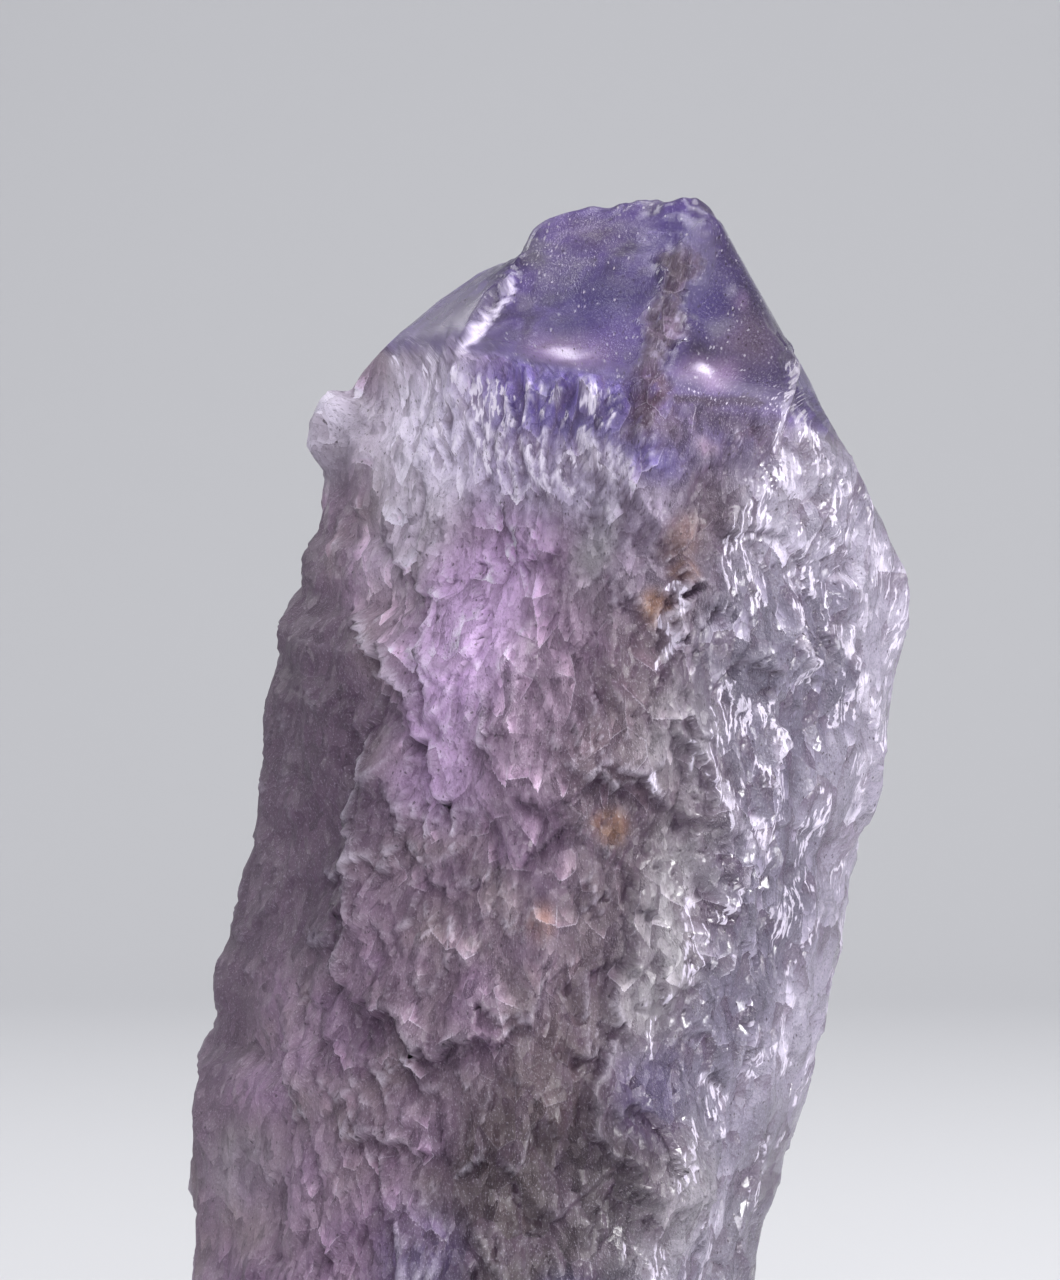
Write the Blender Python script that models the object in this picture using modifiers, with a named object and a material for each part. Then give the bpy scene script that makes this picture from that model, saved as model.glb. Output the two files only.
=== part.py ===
"""Rough ametrine crystal: one etched, six-sided quartz point that leans on a flat cut.

The crystal is shaped upright in millimetres, with its long axis along Z and the side that
carries the ledges, fringe and scoops towards -Y. Flat faces are cut from a block, an even
skin is laid over them, and the skin is raised and hollowed by the relief of the etching.
The finished mesh is scaled to metres, leaned and stood on its cut foot.
"""
import math

import bmesh
import bpy
import numpy as np
from mathutils import Vector

MM = 0.001
NAME = "ametrine_crystal"
NODE = "crystal"

# Driving dimensions, in millimetres and degrees
LEAN = 11.5
FOOT_OFFSET = 6.25
FOOT_LEFT = 18.1
HALF_WIDTH = 15.0
TOP_CENTRE = 44.0
AXIS_Y = -1.0
GIRTH_RADIUS = 14.0
SPARE_LENGTH = 5.0
BLOCK_SIZE = 200.0
SKIN_CELL = 0.38
MOST_TRIANGLES = 9300

# Flat faces as bearing in plan (0 is right, -90 is the front), rise, and distance from the
# foot of the axis to the face
PRISM_FACES = (
    (0, 0, HALF_WIDTH), (-30, 0, 12.6), (-60, 0, 12.2), (-120, 0, 11.2),
    (-150, 0, 11.7), (180, 0, 14.9), (120, 0, 11.5), (60, 0, 11.9),
)
POINT_FACES = (
    (0, 39.9, 42.1), (-30, 39.0, 42.9), (-60, 38.2, 43.0), (-120, 38.2, 42.2),
    (120, 38.2, 39.5), (88, 38.0, 36.6), (60, 38.2, 39.0),
)
SHOULDER_FACES = ((-150, 39.0, 43.5), (180, 38.2, 43.7), (180, 72, 58.75))
TIP_FACES = ((180, 6, 13.4), (180, 45, 48.1), (180, 70, 60.75), (0, 90, 64.05), (0, 65, 58.5))

# How far the two outer sides reach at each height: (height, reach)
LEFT_REACH = (
    (0, 14.7), (10, 14.8), (14, 15.2), (17, 15.2), (18.3, 14.5), (20, 14.9), (22, 15.3),
    (25.3, 15.0), (29, 15.1), (30.5, 15.4), (32, 15.3), (35.8, 15.7), (37, 15.4), (38.6, 15.8),
    (40.7, 14.9), (43.5, 15.2), (44.3, 14.8), (45.5, 14.9), (49, 15.0), (51.5, 14.3), (53, 14.2),
)
RIGHT_REACH = (
    (0, 14.0), (12, 14.4), (15, 14.6), (19, 15.1), (22, 15.3), (24.5, 15.5), (27.5, 15.4),
    (29.3, 15.6), (31.5, 15.3), (33.3, 14.9), (36, 15.6), (39, 15.8), (41, 15.5), (47, 15.3), (50, 15.0),
)

# Steps across the front: name, height of the step, how far it fades back, and its lower edge
# as (across, up) points; the high side is above a level edge, to the right of one that runs
# down and to the left of one that runs up
LEDGES = (
    ("great_shelf_left", 1.9, 5.5, ((-13.4, 41.2), (-12, 40.2), (-10, 39), (-9.3, 38.3), (-8.6, 37.4),
                                    (-7.7, 36.4), (-7.2, 34.8), (-6.6, 34.6), (-5.6, 32.6), (-4.3, 31.5))),
    ("great_shelf_right", 1.1, 4.5, ((-4.3, 31.5), (-3.4, 33), (-1.2, 33.5), (0.5, 34),
                                     (1.5, 35), (3.2, 34.6), (4.2, 35.6), (4.6, 37.2))),
    ("upper_left_shelf", 0.6, 3.0, ((-13.5, 45.4), (-11.8, 44.5), (-10.5, 43), (-9.5, 42.5), (-8.4, 42))),
    ("side_step", 1.2, 3.0, ((-7.8, 43.5), (-7.4, 40.5), (-7.3, 39), (-7.2, 38.2), (-6.3, 35.4))),
    ("mid_left_step", 1.5, 4.0, ((-9.7, 34.5), (-10, 32), (-9.9, 30), (-9.2, 29), (-9.1, 27),
                                 (-8.7, 26), (-8.9, 23.6))),
    ("mid_shelf", 1.4, 4.5, ((-11.2, 24.4), (-9.5, 24.1), (-7.4, 22.3), (-5.2, 21.7),
                             (-3.3, 20), (-2.6, 21.2), (-0.6, 22.2), (1.2, 22.6))),
    ("low_left_step", 1.0, 3.0, ((-11.1, 22), (-11, 19.6), (-10.2, 18.4), (-10, 17), (-9.2, 15.4))),
    ("low_shelf", 1.1, 4.0, ((-8, 16.4), (-7.2, 15), (-5.4, 15.5), (-4.2, 15.4), (-3, 15.1), (-1.6, 15.7))),
    ("notch", 0.8, 2.6, ((3.2, 46.9), (3.6, 44.6), (4.2, 44), (3.1, 43.2), (4.2, 42.2), (3.4, 39.6))),
    ("right_step", 0.7, 3.0, ((2.8, 39.4), (4, 38.3), (4.4, 37.2), (6, 36.3), (6.8, 35.5), (6.8, 34.5),
                              (6.2, 32))),
    ("lump_edge", 0.7, 3.0, ((4.6, 33), (4.1, 29), (4.8, 26.5), (4.2, 25.2), (5, 23), (4.2, 20.2),
                             (4.6, 18.4), (6.4, 17), (7, 15.6), (8.4, 14), (8.6, 11.4))),
    ("right_flake", 0.9, 2.5, ((9.3, 30), (9.5, 33), (8.8, 33.8), (7.7, 35.9))),
    ("right_ridge", 0.8, 1.6, ((9.1, 46.8), (9.6, 49.5), (9.2, 51.5), (8.6, 53.6))),
    ("outer_ridge", 0.7, 1.5, ((11.6, 47.6), (11.0, 50.0), (10.4, 52.4))),
    ("upper_band", 0.9, 2.0, ((10.9, 40.8), (10.2, 42.6), (9.4, 44.6), (9.3, 46.4))),
    ("outer_band", 0.8, 2.0, ((14.4, 39.6), (13.4, 41.4), (12.3, 43.2), (11.6, 44.8))),
    ("glint_band", 0.8, 2.2, ((10.2, 34.8), (9.4, 36.8), (9.8, 38.4), (8.8, 40.2))),
    ("outer_fold", 0.7, 2.0, ((14.2, 31.6), (13.6, 34.6), (13.9, 36.8), (13.1, 38.8))),
    ("lower_fold", 0.8, 2.2, ((9.6, 23.4), (8.9, 25.4), (9.4, 27.6), (8.6, 30.0))),
    ("low_right_fold", 0.7, 2.0, ((13.6, 20.6), (12.8, 23.0), (13.0, 25.6), (12.2, 28.0))),
    ("foot_fold", 0.7, 2.2, ((11.6, 12.6), (10.9, 15.4), (11.3, 18.0), (10.2, 20.8))),
    ("low_ridge", 0.9, 2.5, ((-6, 16), (-5, 13.6), (-3.8, 12), (-3, 10.6), (-2.4, 8))),
    ("point_step", 0.6, 2.5, ((-9.4, 53.0), (-8.2, 56.5), (-7.3, 57.8), (-7.3, 60))),
    ("right_point_step", 0.6, 2.0, ((6.2, 51), (6.9, 54.5), (6.6, 58))),
)

# Etching patterns: width and length of a cell, height of the relief, and seed
LARGE_TONGUES = (5.2, 6.5, 0.95, 11)
SMALL_TONGUES = (2.4, 3.6, 0.5, 12)
RIGHT_SCOOPS = (2.6, 5.5, 1.0, 13)
LEFT_SCOOPS = (3.4, 4.2, 0.7, 14)
POINT_SCOOPS = (1.8, 3.0, 0.3, 15)
BACK_SCOOPS = (3.2, 3.4, 0.4, 16)

# Soft swells: size, height on the body, height on the point, and seed
SWELLS = ((5.0, 0.4, 0.08, 1), (2.1, 0.1, 0.05, 2))

# The front edge between the two front faces is worn: place across, half width and depth
WORN_EDGE = (1.0, 2.6, 1.1)

# Scales and blades hang to the right: how far they shift for each millimetre down
HANG = 0.24

# How far a ledge's edge follows the scales on it
SCALES_SHIFT = 1.6

# What the tongues and ledges add on average, taken off again so that the faces keep their place
TONGUE_MEAN = 0.6
LEDGE_MEAN = 0.3

# The fringe: pitch of its blades, height of their lower ends, how far they vary, thickness, seed
BLADES = (1.15, 47.6, 2.2, 1.2, 21)

# Rounded knobs: (across, depth, up, radius, height)
KNOBS = (
    (-14.4, 2.2, 50.2, 1.1, 1.4), (-14.7, 2.2, 48.4, 1.0, 1.3), (12.0, -5.5, 46.0, 1.2, 0.7),
    (-2.6, -11.5, 52.6, 0.8, 0.4), (8.5, -9.0, 17.0, 2.6, 0.6), (6.4, -10.5, 27.0, 2.0, 0.5),
)


def clear_scene():
    for item in list(bpy.data.objects):
        bpy.data.objects.remove(item, do_unlink=True)


def collection(name):
    """A new collection under the scene's own."""
    group = bpy.data.collections.new(name)
    bpy.context.scene.collection.children.link(group)
    return group


def face_normal(bearing, rise):
    """Outward direction of a face from its bearing and rise in degrees."""
    turn = math.radians(bearing)
    lift = math.radians(rise)
    return Vector((math.cos(lift) * math.cos(turn), math.cos(lift) * math.sin(turn), math.sin(lift)))


def cut(mesh, point, normal):
    """Removes what lies outside a plane and closes the cut with one flat face."""
    everything = mesh.verts[:] + mesh.edges[:] + mesh.faces[:]
    result = bmesh.ops.bisect_plane(mesh, geom=everything, plane_co=point, plane_no=normal, clear_outer=True)
    rim = [item for item in result["geom_cut"] if isinstance(item, bmesh.types.BMEdge)]
    if rim:
        bmesh.ops.contextual_create(mesh, geom=rim)
    bmesh.ops.recalc_face_normals(mesh, faces=mesh.faces)


def block(name, faces, group):
    """A convex block bounded by the given faces and by a level end below the foot."""
    shape = bmesh.new()
    bmesh.ops.create_cube(shape, size=BLOCK_SIZE)
    for bearing, rise, distance in faces:
        normal = face_normal(bearing, rise)
        cut(shape, normal * distance, normal)
    cut(shape, Vector((0, 0, -SPARE_LENGTH)), Vector((0, 0, -1)))
    data = bpy.data.meshes.new(name)
    shape.to_mesh(data)
    shape.free()
    item = bpy.data.objects.new(name, data)
    group.objects.link(item)
    return item


def foot_side():
    """The upright flank at the lower left, as a face in the crystal's own frame."""
    lean = math.radians(LEAN)
    return (180, -LEAN, FOOT_LEFT - FOOT_OFFSET * math.cos(lean))


def flat_faced_crystal(parts, cutters):
    """The crystal's flat faces: the shouldered point joined to its higher tip."""
    body = block(NODE, PRISM_FACES + POINT_FACES + SHOULDER_FACES + (foot_side(),), parts)
    tip = block("tip_guide", PRISM_FACES + POINT_FACES + TIP_FACES + (foot_side(),), cutters)
    tip.hide_render = True
    tip.display_type = "WIRE"
    joined = body.modifiers.new("tip", "BOOLEAN")
    joined.operation = "UNION"
    joined.solver = "EXACT"
    joined.object = tip
    skin = body.modifiers.new("skin", "REMESH")
    skin.mode = "VOXEL"
    skin.voxel_size = SKIN_CELL
    bake_modifiers(body)
    return body


def bake_modifiers(item):
    """Replaces an object's mesh by the shape that its modifiers give it."""
    seen = item.evaluated_get(bpy.context.evaluated_depsgraph_get())
    shaped = bpy.data.meshes.new_from_object(seen)
    item.modifiers.clear()
    spent = item.data
    item.data = shaped
    bpy.data.meshes.remove(spent)


def ramp(value, start, end):
    """Smooth step from 0 at start to 1 at end."""
    share = np.clip((value - start) / (end - start), 0.0, 1.0)
    return share * share * (3.0 - 2.0 * share)


def noise(points, size, seed):
    """Soft noise from -1 to 1: seeded values on a cubic lattice, blended by smooth steps."""
    count = 32
    lattice = np.random.default_rng(seed).uniform(-1.0, 1.0, (count, count, count))
    cell = np.floor(points / size).astype(int)
    share = points / size - cell
    share = share * share * (3.0 - 2.0 * share)
    total = np.zeros(len(points))
    for corner in np.ndindex(2, 2, 2):
        near = np.array(corner)
        weight = np.prod(np.where(near == 1, share, 1.0 - share), axis=1)
        place = (cell + near) % count
        total += weight * lattice[place[:, 0], place[:, 1], place[:, 2]]
    return total


def cells(around, up, width, length, seed):
    """The near cells of a jittered brick pattern that closes round the crystal.

    For each neighbour it gives the place of its centre, in cells from the point, and two
    seeded values from 0 to 1.
    """
    columns = max(3, round(2.0 * math.pi * GIRTH_RADIUS / width))
    rows = 64
    seeds = np.random.default_rng(seed).uniform(0.0, 1.0, (columns, rows, 4))
    column = around / (2.0 * math.pi) * columns
    row = up / length
    for right in (-1, 0, 1):
        for above in (-2, -1, 0, 1):
            column_cell = np.floor(column).astype(int) + right
            row_cell = np.floor(row).astype(int) + above
            pick = seeds[column_cell % columns, row_cell % rows]
            sideways = column - column_cell - 0.1 - 0.8 * pick[:, 0]
            upwards = row - row_cell - pick[:, 1]
            yield sideways, upwards, pick[:, 2], pick[:, 3]


def tongues(around, up, pattern):
    """Overlapping scales that hang down, each thin at its root and thick at its pointed end."""
    width, length, height, seed = pattern
    top = np.zeros(len(up))
    for sideways, upwards, breadth, thickness in cells(around, up, width, length, seed):
        side = (sideways + 0.5 * (thickness - 0.5) * upwards) / (0.5 + 0.4 * breadth)
        above = upwards - 0.55 * np.abs(side) ** 1.3
        body = (0.45 + 0.55 * thickness) * np.exp(-1.5 * np.clip(above, 0.0, None))
        body *= ramp(above, -0.03, 0.03) * (1.0 - np.clip(np.abs(side), 0.0, 1.0) ** 3)
        body *= 1.0 + 0.35 * (2.0 * breadth - 1.0) * side
        top = np.maximum(top, body)
    return height * top


def scoops(around, up, pattern):
    """Long shallow hollows that meet in sharp crests: the squared way to the nearest centre."""
    width, length, height, seed = pattern
    nearest = np.full(len(up), 4.0)
    for sideways, upwards, breadth, _ in cells(around, up, width, length, seed):
        nearest = np.minimum(nearest, sideways ** 2 * (0.8 + 0.6 * breadth) + upwards ** 2)
    return height * (np.clip(nearest, 0.0, 1.0) - 0.35)


def step(across, up, edge, height, fade):
    """A shelf that ends at an edge: the way past the edge, measured up for a mostly level edge
    and across for a mostly upright one, stepped at nought and fading as an exponential."""
    path = np.array(edge, dtype=float)
    run = path[-1] - path[0]
    level = abs(run[0]) > abs(run[1])
    along, off = (across, up) if level else (up, across)
    side = -1.0 if not level and run[1] > 0.0 else 1.0
    path = path if level else path[:, ::-1]
    path = path[np.argsort(path[:, 0])]
    share = np.clip((along - path[0, 0]) / (path[-1, 0] - path[0, 0]), 0.0, 1.0)
    line = np.interp(along, path[:, 0], path[:, 1])
    distance = side * (off - line)
    ends = np.sin(math.pi * share) ** 0.8
    return height * ends * ramp(distance, -0.12, 0.12) * np.exp(-np.clip(distance, 0.0, None) / fade)


def flatness(points, faces):
    """How far each point lies inside the nearest of the given faces."""
    gaps = [distance - points @ np.array(face_normal(bearing, rise)) for bearing, rise, distance in faces]
    return np.min(gaps, axis=0)


def side_reach(across_share, up):
    """The outer sides' unevenness: their reach at each height, less the flat face's."""
    heights, reach = np.array(LEFT_REACH).T
    left = np.interp(up, heights, reach) - HALF_WIDTH
    heights, reach = np.array(RIGHT_REACH).T
    right = np.interp(up, heights, reach) - HALF_WIDTH
    below_point = 1.0 - ramp(up, 50.0, 54.0)
    return below_point * (left * ramp(-across_share, 0.88, 0.985) + right * ramp(across_share, 0.88, 0.985))


def fringe(across, up):
    """The curtain of blades under the left front face of the point. Each blade is a roof-shaped
    rib of seeded thickness that leans with the scales and ends in a point at a seeded height."""
    pitch, lowest, varies, thickness, seed = BLADES
    seeds = np.random.default_rng(seed).uniform(0.0, 1.0, (64, 2))
    leaning = across + HANG * (up - lowest)
    leaning = leaning + 0.5 * np.sin(1.3 * leaning) + 0.25 * np.sin(3.7 * leaning + 1.0)
    blade = np.floor(leaning / pitch).astype(int)
    tooth = np.abs(2.0 * (leaning / pitch - blade) - 1.0)
    pick = seeds[blade % len(seeds)]
    end = lowest + varies * pick[:, 0] + 1.5 * tooth ** 1.5 + 1.4 * ramp(across, -5.0, -9.0)
    here = ramp(across, -13.5, -11.5) * (1.0 - ramp(across, -1.8, 0.4))
    top = 1.0 - ramp(up, 52.8 + 0.6 * pick[:, 1], 53.7 + 0.5 * pick[:, 1])
    rib = thickness * (0.25 + 0.75 * pick[:, 1]) * (1.0 - 0.85 * tooth)
    return here * top * ramp(up, end - 0.12, end + 0.12) * rib


def knobs(points):
    """Round bumps and lumps, each flat-topped: the exponential of the fourth power of the way
    from its centre."""
    out = np.zeros(len(points))
    for across, depth, up, radius, height in KNOBS:
        off = points - np.array((across, depth, up))
        out += height * np.exp(-(np.sum(off * off, axis=1) / radius ** 2) ** 2)
    return out


def relief(points):
    """How far the etched surface stands out from the flat faces, in millimetres."""
    across, depth, up = points.T
    way = np.stack([across, depth - AXIS_Y], axis=1)
    way /= np.linalg.norm(way, axis=1)[:, None]
    wave = noise(points, 3.4, 5)
    patches = noise(points, 7.0, 8)
    around = np.arctan2(way[:, 1], way[:, 0]) + (0.7 * wave + HANG * up) / GIRTH_RADIUS
    bent_up = up + 0.6 * noise(points, 3.0, 6)
    ragged = 0.2 * wave + 0.3 * noise(points, 0.8, 10)
    edge_place, edge_width, edge_depth = WORN_EDGE

    # Where each kind of surface lies
    front = ramp(-way[:, 1], 0.05, 0.35)
    below = flatness(points, POINT_FACES + SHOULDER_FACES) - flatness(points, PRISM_FACES)
    body = ramp(below, -0.4, 0.8)
    point = 1.0 - body
    settled = ramp(below, -0.4, 4.0)
    right = ramp(across, 6.5, 9.5)
    left = 1.0 - ramp(across, -11.0, -8.0)
    calm = 1.0 - 0.6 * ramp(np.abs(way[:, 0]), 0.88, 0.98)
    scaly = calm * body * (1.0 - 0.75 * right) * (1.0 - 0.45 * left * front) * (0.85 + 0.5 * patches)
    scaly *= 1.0 - 0.45 * front * ramp(across, 0.0, 2.5)

    wander = 30.0 * (1.0 - np.abs(way[:, 0])) * noise(points, 2.5, 20)
    out = side_reach(way[:, 0], up + wander) + knobs(points)
    for size, body_height, point_height, seed in SWELLS:
        out += (point_height + (body_height - point_height) * body * calm) * noise(points, size, seed)
    scales = tongues(around, bent_up, LARGE_TONGUES) + tongues(around, bent_up, SMALL_TONGUES)
    out += scaly * scales
    ragged = ragged + SCALES_SHIFT * (scales - TONGUE_MEAN)
    worn = front * body * ramp(up, 53.0, 46.0)
    out -= worn * edge_depth * np.exp(-((across - edge_place) / edge_width) ** 2)
    out += (0.4 + 0.6 * calm) * right * body * scoops(around, bent_up, RIGHT_SCOOPS)
    out += calm * left * body * scoops(around, bent_up, LEFT_SCOOPS)
    right_point = ramp(across + 0.3 * (up - 57.0), 5.6, 6.8)
    out += right_point * point * scoops((depth + wave) / GIRTH_RADIUS, bent_up, POINT_SCOOPS)
    out += (1.0 - front) * point * scoops((across + wave) / GIRTH_RADIUS, bent_up, BACK_SCOOPS)
    out += front * fringe(across, up)
    for _, height, fade, edge in LEDGES:
        out += front * step(across + 0.3 * ragged, up + ragged, edge, height, fade)
    return out - settled * (TONGUE_MEAN * scaly + LEDGE_MEAN * front)


def etch(item):
    """Moves each point of the skin along its ray from the crystal's axis by the relief."""
    skin = item.data
    flat = np.empty(3 * len(skin.vertices))
    skin.vertices.foreach_get("co", flat)
    points = flat.reshape(-1, 3)
    centres = np.zeros_like(points)
    centres[:, 1] = AXIS_Y
    centres[:, 2] = np.minimum(points[:, 2], TOP_CENTRE)
    rays = points - centres
    rays /= np.linalg.norm(rays, axis=1)[:, None]
    etched = points + rays * relief(points)[:, None]
    skin.vertices.foreach_set("co", etched.ravel())
    skin.update()


def thin(item):
    """Keeps the triangles that the ledges and edges need and spends few on flat stretches."""
    skin = item.data
    skin.calc_loop_triangles()
    fewer = item.modifiers.new("fewer", "DECIMATE")
    fewer.ratio = MOST_TRIANGLES / len(skin.loop_triangles)
    bake_modifiers(item)


def stand(item):
    """Cuts the foot level, scales the crystal to metres and leans it over its foot."""
    lean = math.radians(LEAN)
    down = Vector((math.sin(lean), 0, -math.cos(lean)))
    shape = bmesh.new()
    shape.from_mesh(item.data)
    cut(shape, down * FOOT_OFFSET * math.sin(lean), down)
    bmesh.ops.triangulate(shape, faces=shape.faces)
    bmesh.ops.scale(shape, vec=(MM, MM, MM), verts=shape.verts)
    shape.to_mesh(item.data)
    shape.free()
    item.location = Vector((-math.cos(lean), 0, math.sin(lean))) * FOOT_OFFSET * MM
    item.rotation_euler = (0, lean, 0)


def quartz():
    """Pale violet, frosted quartz."""
    material = bpy.data.materials.new("ametrine")
    material.use_nodes = True
    surface = material.node_tree.nodes["Principled BSDF"]
    surface.inputs["Base Color"].default_value = (0.52, 0.42, 0.60, 1.0)
    surface.inputs["Roughness"].default_value = 0.35
    surface.inputs["Metallic"].default_value = 0.0
    material.diffuse_color = (0.52, 0.42, 0.60, 1.0)
    return material


def main():
    clear_scene()
    parts = collection(NAME)
    cutters = collection("cutters")
    crystal = flat_faced_crystal(parts, cutters)
    etch(crystal)
    thin(crystal)
    stand(crystal)
    crystal.data.materials.clear()
    crystal.data.materials.append(quartz())


main()
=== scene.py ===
# Looks of the rough ametrine crystal: the etched quartz surface, its frosted, see-through
# violet material, and a plain pale studio with soft light and the camera of the photograph.
# The crystal's own frame is upright, in millimetres, with across to the right, depth away
# from the viewer and up along the crystal; it leans and is scaled to metres at the end.
import math

import bpy
import numpy as np
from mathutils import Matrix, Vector

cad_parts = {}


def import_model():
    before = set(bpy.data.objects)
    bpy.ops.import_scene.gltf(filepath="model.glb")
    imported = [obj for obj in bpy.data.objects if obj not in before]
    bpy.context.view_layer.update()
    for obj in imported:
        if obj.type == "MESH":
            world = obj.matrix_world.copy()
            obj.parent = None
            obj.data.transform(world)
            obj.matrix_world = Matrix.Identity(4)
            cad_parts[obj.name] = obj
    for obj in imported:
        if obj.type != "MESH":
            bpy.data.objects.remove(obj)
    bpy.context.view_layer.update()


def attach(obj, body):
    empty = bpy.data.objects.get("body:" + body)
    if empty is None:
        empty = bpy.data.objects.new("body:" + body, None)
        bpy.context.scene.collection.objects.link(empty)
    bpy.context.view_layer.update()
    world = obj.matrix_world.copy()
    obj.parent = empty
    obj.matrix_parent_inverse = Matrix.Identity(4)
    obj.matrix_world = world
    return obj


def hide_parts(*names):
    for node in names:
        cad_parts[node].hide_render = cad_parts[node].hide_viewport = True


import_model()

MM = 0.001

# A way that counts as none, and one that is longer than the crystal
TINY = 1.0e-6
FAR = 1.0e3

# Driving dimensions, in millimetres and degrees, as in the solid: the lean; the place across
# that stands on the origin; how far left of the origin the foot ends; half the width between
# the outer sides; the height above which rays from the axis fan out; the axis in depth; and
# the radius at which a way round the crystal is measured
LEAN = 11.5
FOOT_OFFSET = 6.25
FOOT_LEFT = 18.1
HALF_WIDTH = 15.0
TOP_CENTRE = 44.0
AXIS_Y = -1.0
GIRTH_RADIUS = 14.0

# How soft the edges between the flat faces are
EDGE_SOFTNESS = 0.22

# Flat faces as bearing in plan (0 is right, -90 is the front), rise, and distance from the
# foot of the axis to the face
PRISM_FACES = (
    (0, 0, HALF_WIDTH), (-30, 0, 12.6), (-60, 0, 12.2), (-120, 0, 11.2),
    (-150, 0, 11.7), (180, 0, 14.9), (120, 0, 11.5), (60, 0, 11.9),
)
POINT_FACES = (
    (0, 39.9, 42.1), (-30, 39.0, 42.9), (-60, 38.2, 43.0), (-120, 38.2, 42.2),
    (120, 38.2, 39.5), (88, 38.0, 36.6), (60, 38.2, 39.0),
)
SHOULDER_FACES = ((-150, 39.0, 43.5), (180, 38.2, 43.7), (180, 72, 58.75))
TIP_FACES = ((180, 6, 13.4), (180, 45, 48.1), (180, 70, 60.75), (0, 90, 64.05), (0, 65, 58.5))

# How far the two outer sides reach at each height: (height, reach)
LEFT_REACH = (
    (0, 14.7), (10, 14.8), (14, 15.2), (17, 15.2), (18.3, 14.5), (20, 14.9), (22, 15.3),
    (25.3, 15.0), (29, 15.1), (30.5, 15.4), (32, 15.3), (35.8, 15.7), (37, 15.4), (38.6, 15.8),
    (40.7, 14.9), (43.5, 15.2), (44.3, 14.8), (45.5, 14.9), (49, 15.0), (51.5, 14.3), (53, 14.2),
)
RIGHT_REACH = (
    (0, 14.0), (12, 14.4), (15, 14.6), (19, 15.1), (22, 15.3), (24.5, 15.5), (27.5, 15.4),
    (29.3, 15.6), (31.5, 15.3), (33.3, 14.9), (36, 15.6), (39, 15.8), (41, 15.5), (47, 15.3), (50, 15.0),
)

# Steps across the front: name, height of the step, how far it fades back, and its lower edge
# as (across, up) points; the high side is above a level edge, to the right of one that runs
# down and to the left of one that runs up
LEDGES = (
    ("great_shelf_left", 1.9, 5.5, ((-13.4, 41.2), (-12, 40.2), (-10, 39), (-9.3, 38.3), (-8.6, 37.4),
                                    (-7.7, 36.4), (-7.2, 34.8), (-6.6, 34.6), (-5.6, 32.6), (-4.3, 31.5))),
    ("great_shelf_right", 1.1, 4.5, ((-4.3, 31.5), (-3.4, 33), (-1.2, 33.5), (0.5, 34),
                                     (1.5, 35), (3.2, 34.6), (4.2, 35.6), (4.6, 37.2))),
    ("upper_left_shelf", 0.6, 3.0, ((-13.5, 45.4), (-11.8, 44.5), (-10.5, 43), (-9.5, 42.5), (-8.4, 42))),
    ("side_step", 1.2, 3.0, ((-7.8, 43.5), (-7.4, 40.5), (-7.3, 39), (-7.2, 38.2), (-6.3, 35.4))),
    ("mid_left_step", 1.5, 4.0, ((-9.7, 34.5), (-10, 32), (-9.9, 30), (-9.2, 29), (-9.1, 27),
                                 (-8.7, 26), (-8.9, 23.6))),
    ("mid_shelf", 1.4, 4.5, ((-11.2, 24.4), (-9.5, 24.1), (-7.4, 22.3), (-5.2, 21.7),
                             (-3.3, 20), (-2.6, 21.2), (-0.6, 22.2), (1.2, 22.6))),
    ("low_left_step", 1.0, 3.0, ((-11.1, 22), (-11, 19.6), (-10.2, 18.4), (-10, 17), (-9.2, 15.4))),
    ("low_shelf", 1.1, 4.0, ((-8, 16.4), (-7.2, 15), (-5.4, 15.5), (-4.2, 15.4), (-3, 15.1), (-1.6, 15.7))),
    ("notch", 0.8, 2.6, ((3.2, 46.9), (3.6, 44.6), (4.2, 44), (3.1, 43.2), (4.2, 42.2), (3.4, 39.6))),
    ("right_step", 0.7, 3.0, ((2.8, 39.4), (4, 38.3), (4.4, 37.2), (6, 36.3), (6.8, 35.5), (6.8, 34.5),
                              (6.2, 32))),
    ("lump_edge", 0.7, 3.0, ((4.6, 33), (4.1, 29), (4.8, 26.5), (4.2, 25.2), (5, 23), (4.2, 20.2),
                             (4.6, 18.4), (6.4, 17), (7, 15.6), (8.4, 14), (8.6, 11.4))),
    ("right_flake", 0.9, 2.5, ((9.3, 30), (9.5, 33), (8.8, 33.8), (7.7, 35.9))),
    ("right_ridge", 0.8, 1.6, ((9.1, 46.8), (9.6, 49.5), (9.2, 51.5), (8.6, 53.6))),
    ("outer_ridge", 0.7, 1.5, ((11.6, 47.6), (11.0, 50.0), (10.4, 52.4))),
    ("upper_band", 0.9, 2.0, ((10.9, 40.8), (10.2, 42.6), (9.4, 44.6), (9.3, 46.4))),
    ("outer_band", 0.8, 2.0, ((14.4, 39.6), (13.4, 41.4), (12.3, 43.2), (11.6, 44.8))),
    ("glint_band", 0.8, 2.2, ((10.2, 34.8), (9.4, 36.8), (9.8, 38.4), (8.8, 40.2))),
    ("outer_fold", 0.7, 2.0, ((14.2, 31.6), (13.6, 34.6), (13.9, 36.8), (13.1, 38.8))),
    ("lower_fold", 0.8, 2.2, ((9.6, 23.4), (8.9, 25.4), (9.4, 27.6), (8.6, 30.0))),
    ("low_right_fold", 0.7, 2.0, ((13.6, 20.6), (12.8, 23.0), (13.0, 25.6), (12.2, 28.0))),
    ("foot_fold", 0.7, 2.2, ((11.6, 12.6), (10.9, 15.4), (11.3, 18.0), (10.2, 20.8))),
    ("low_ridge", 0.9, 2.5, ((-6, 16), (-5, 13.6), (-3.8, 12), (-3, 10.6), (-2.4, 8))),
    ("point_step", 0.6, 2.5, ((-9.4, 53.0), (-8.2, 56.5), (-7.3, 57.8), (-7.3, 60))),
    ("right_point_step", 0.6, 2.0, ((6.2, 51), (6.9, 54.5), (6.6, 58))),
)

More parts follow.
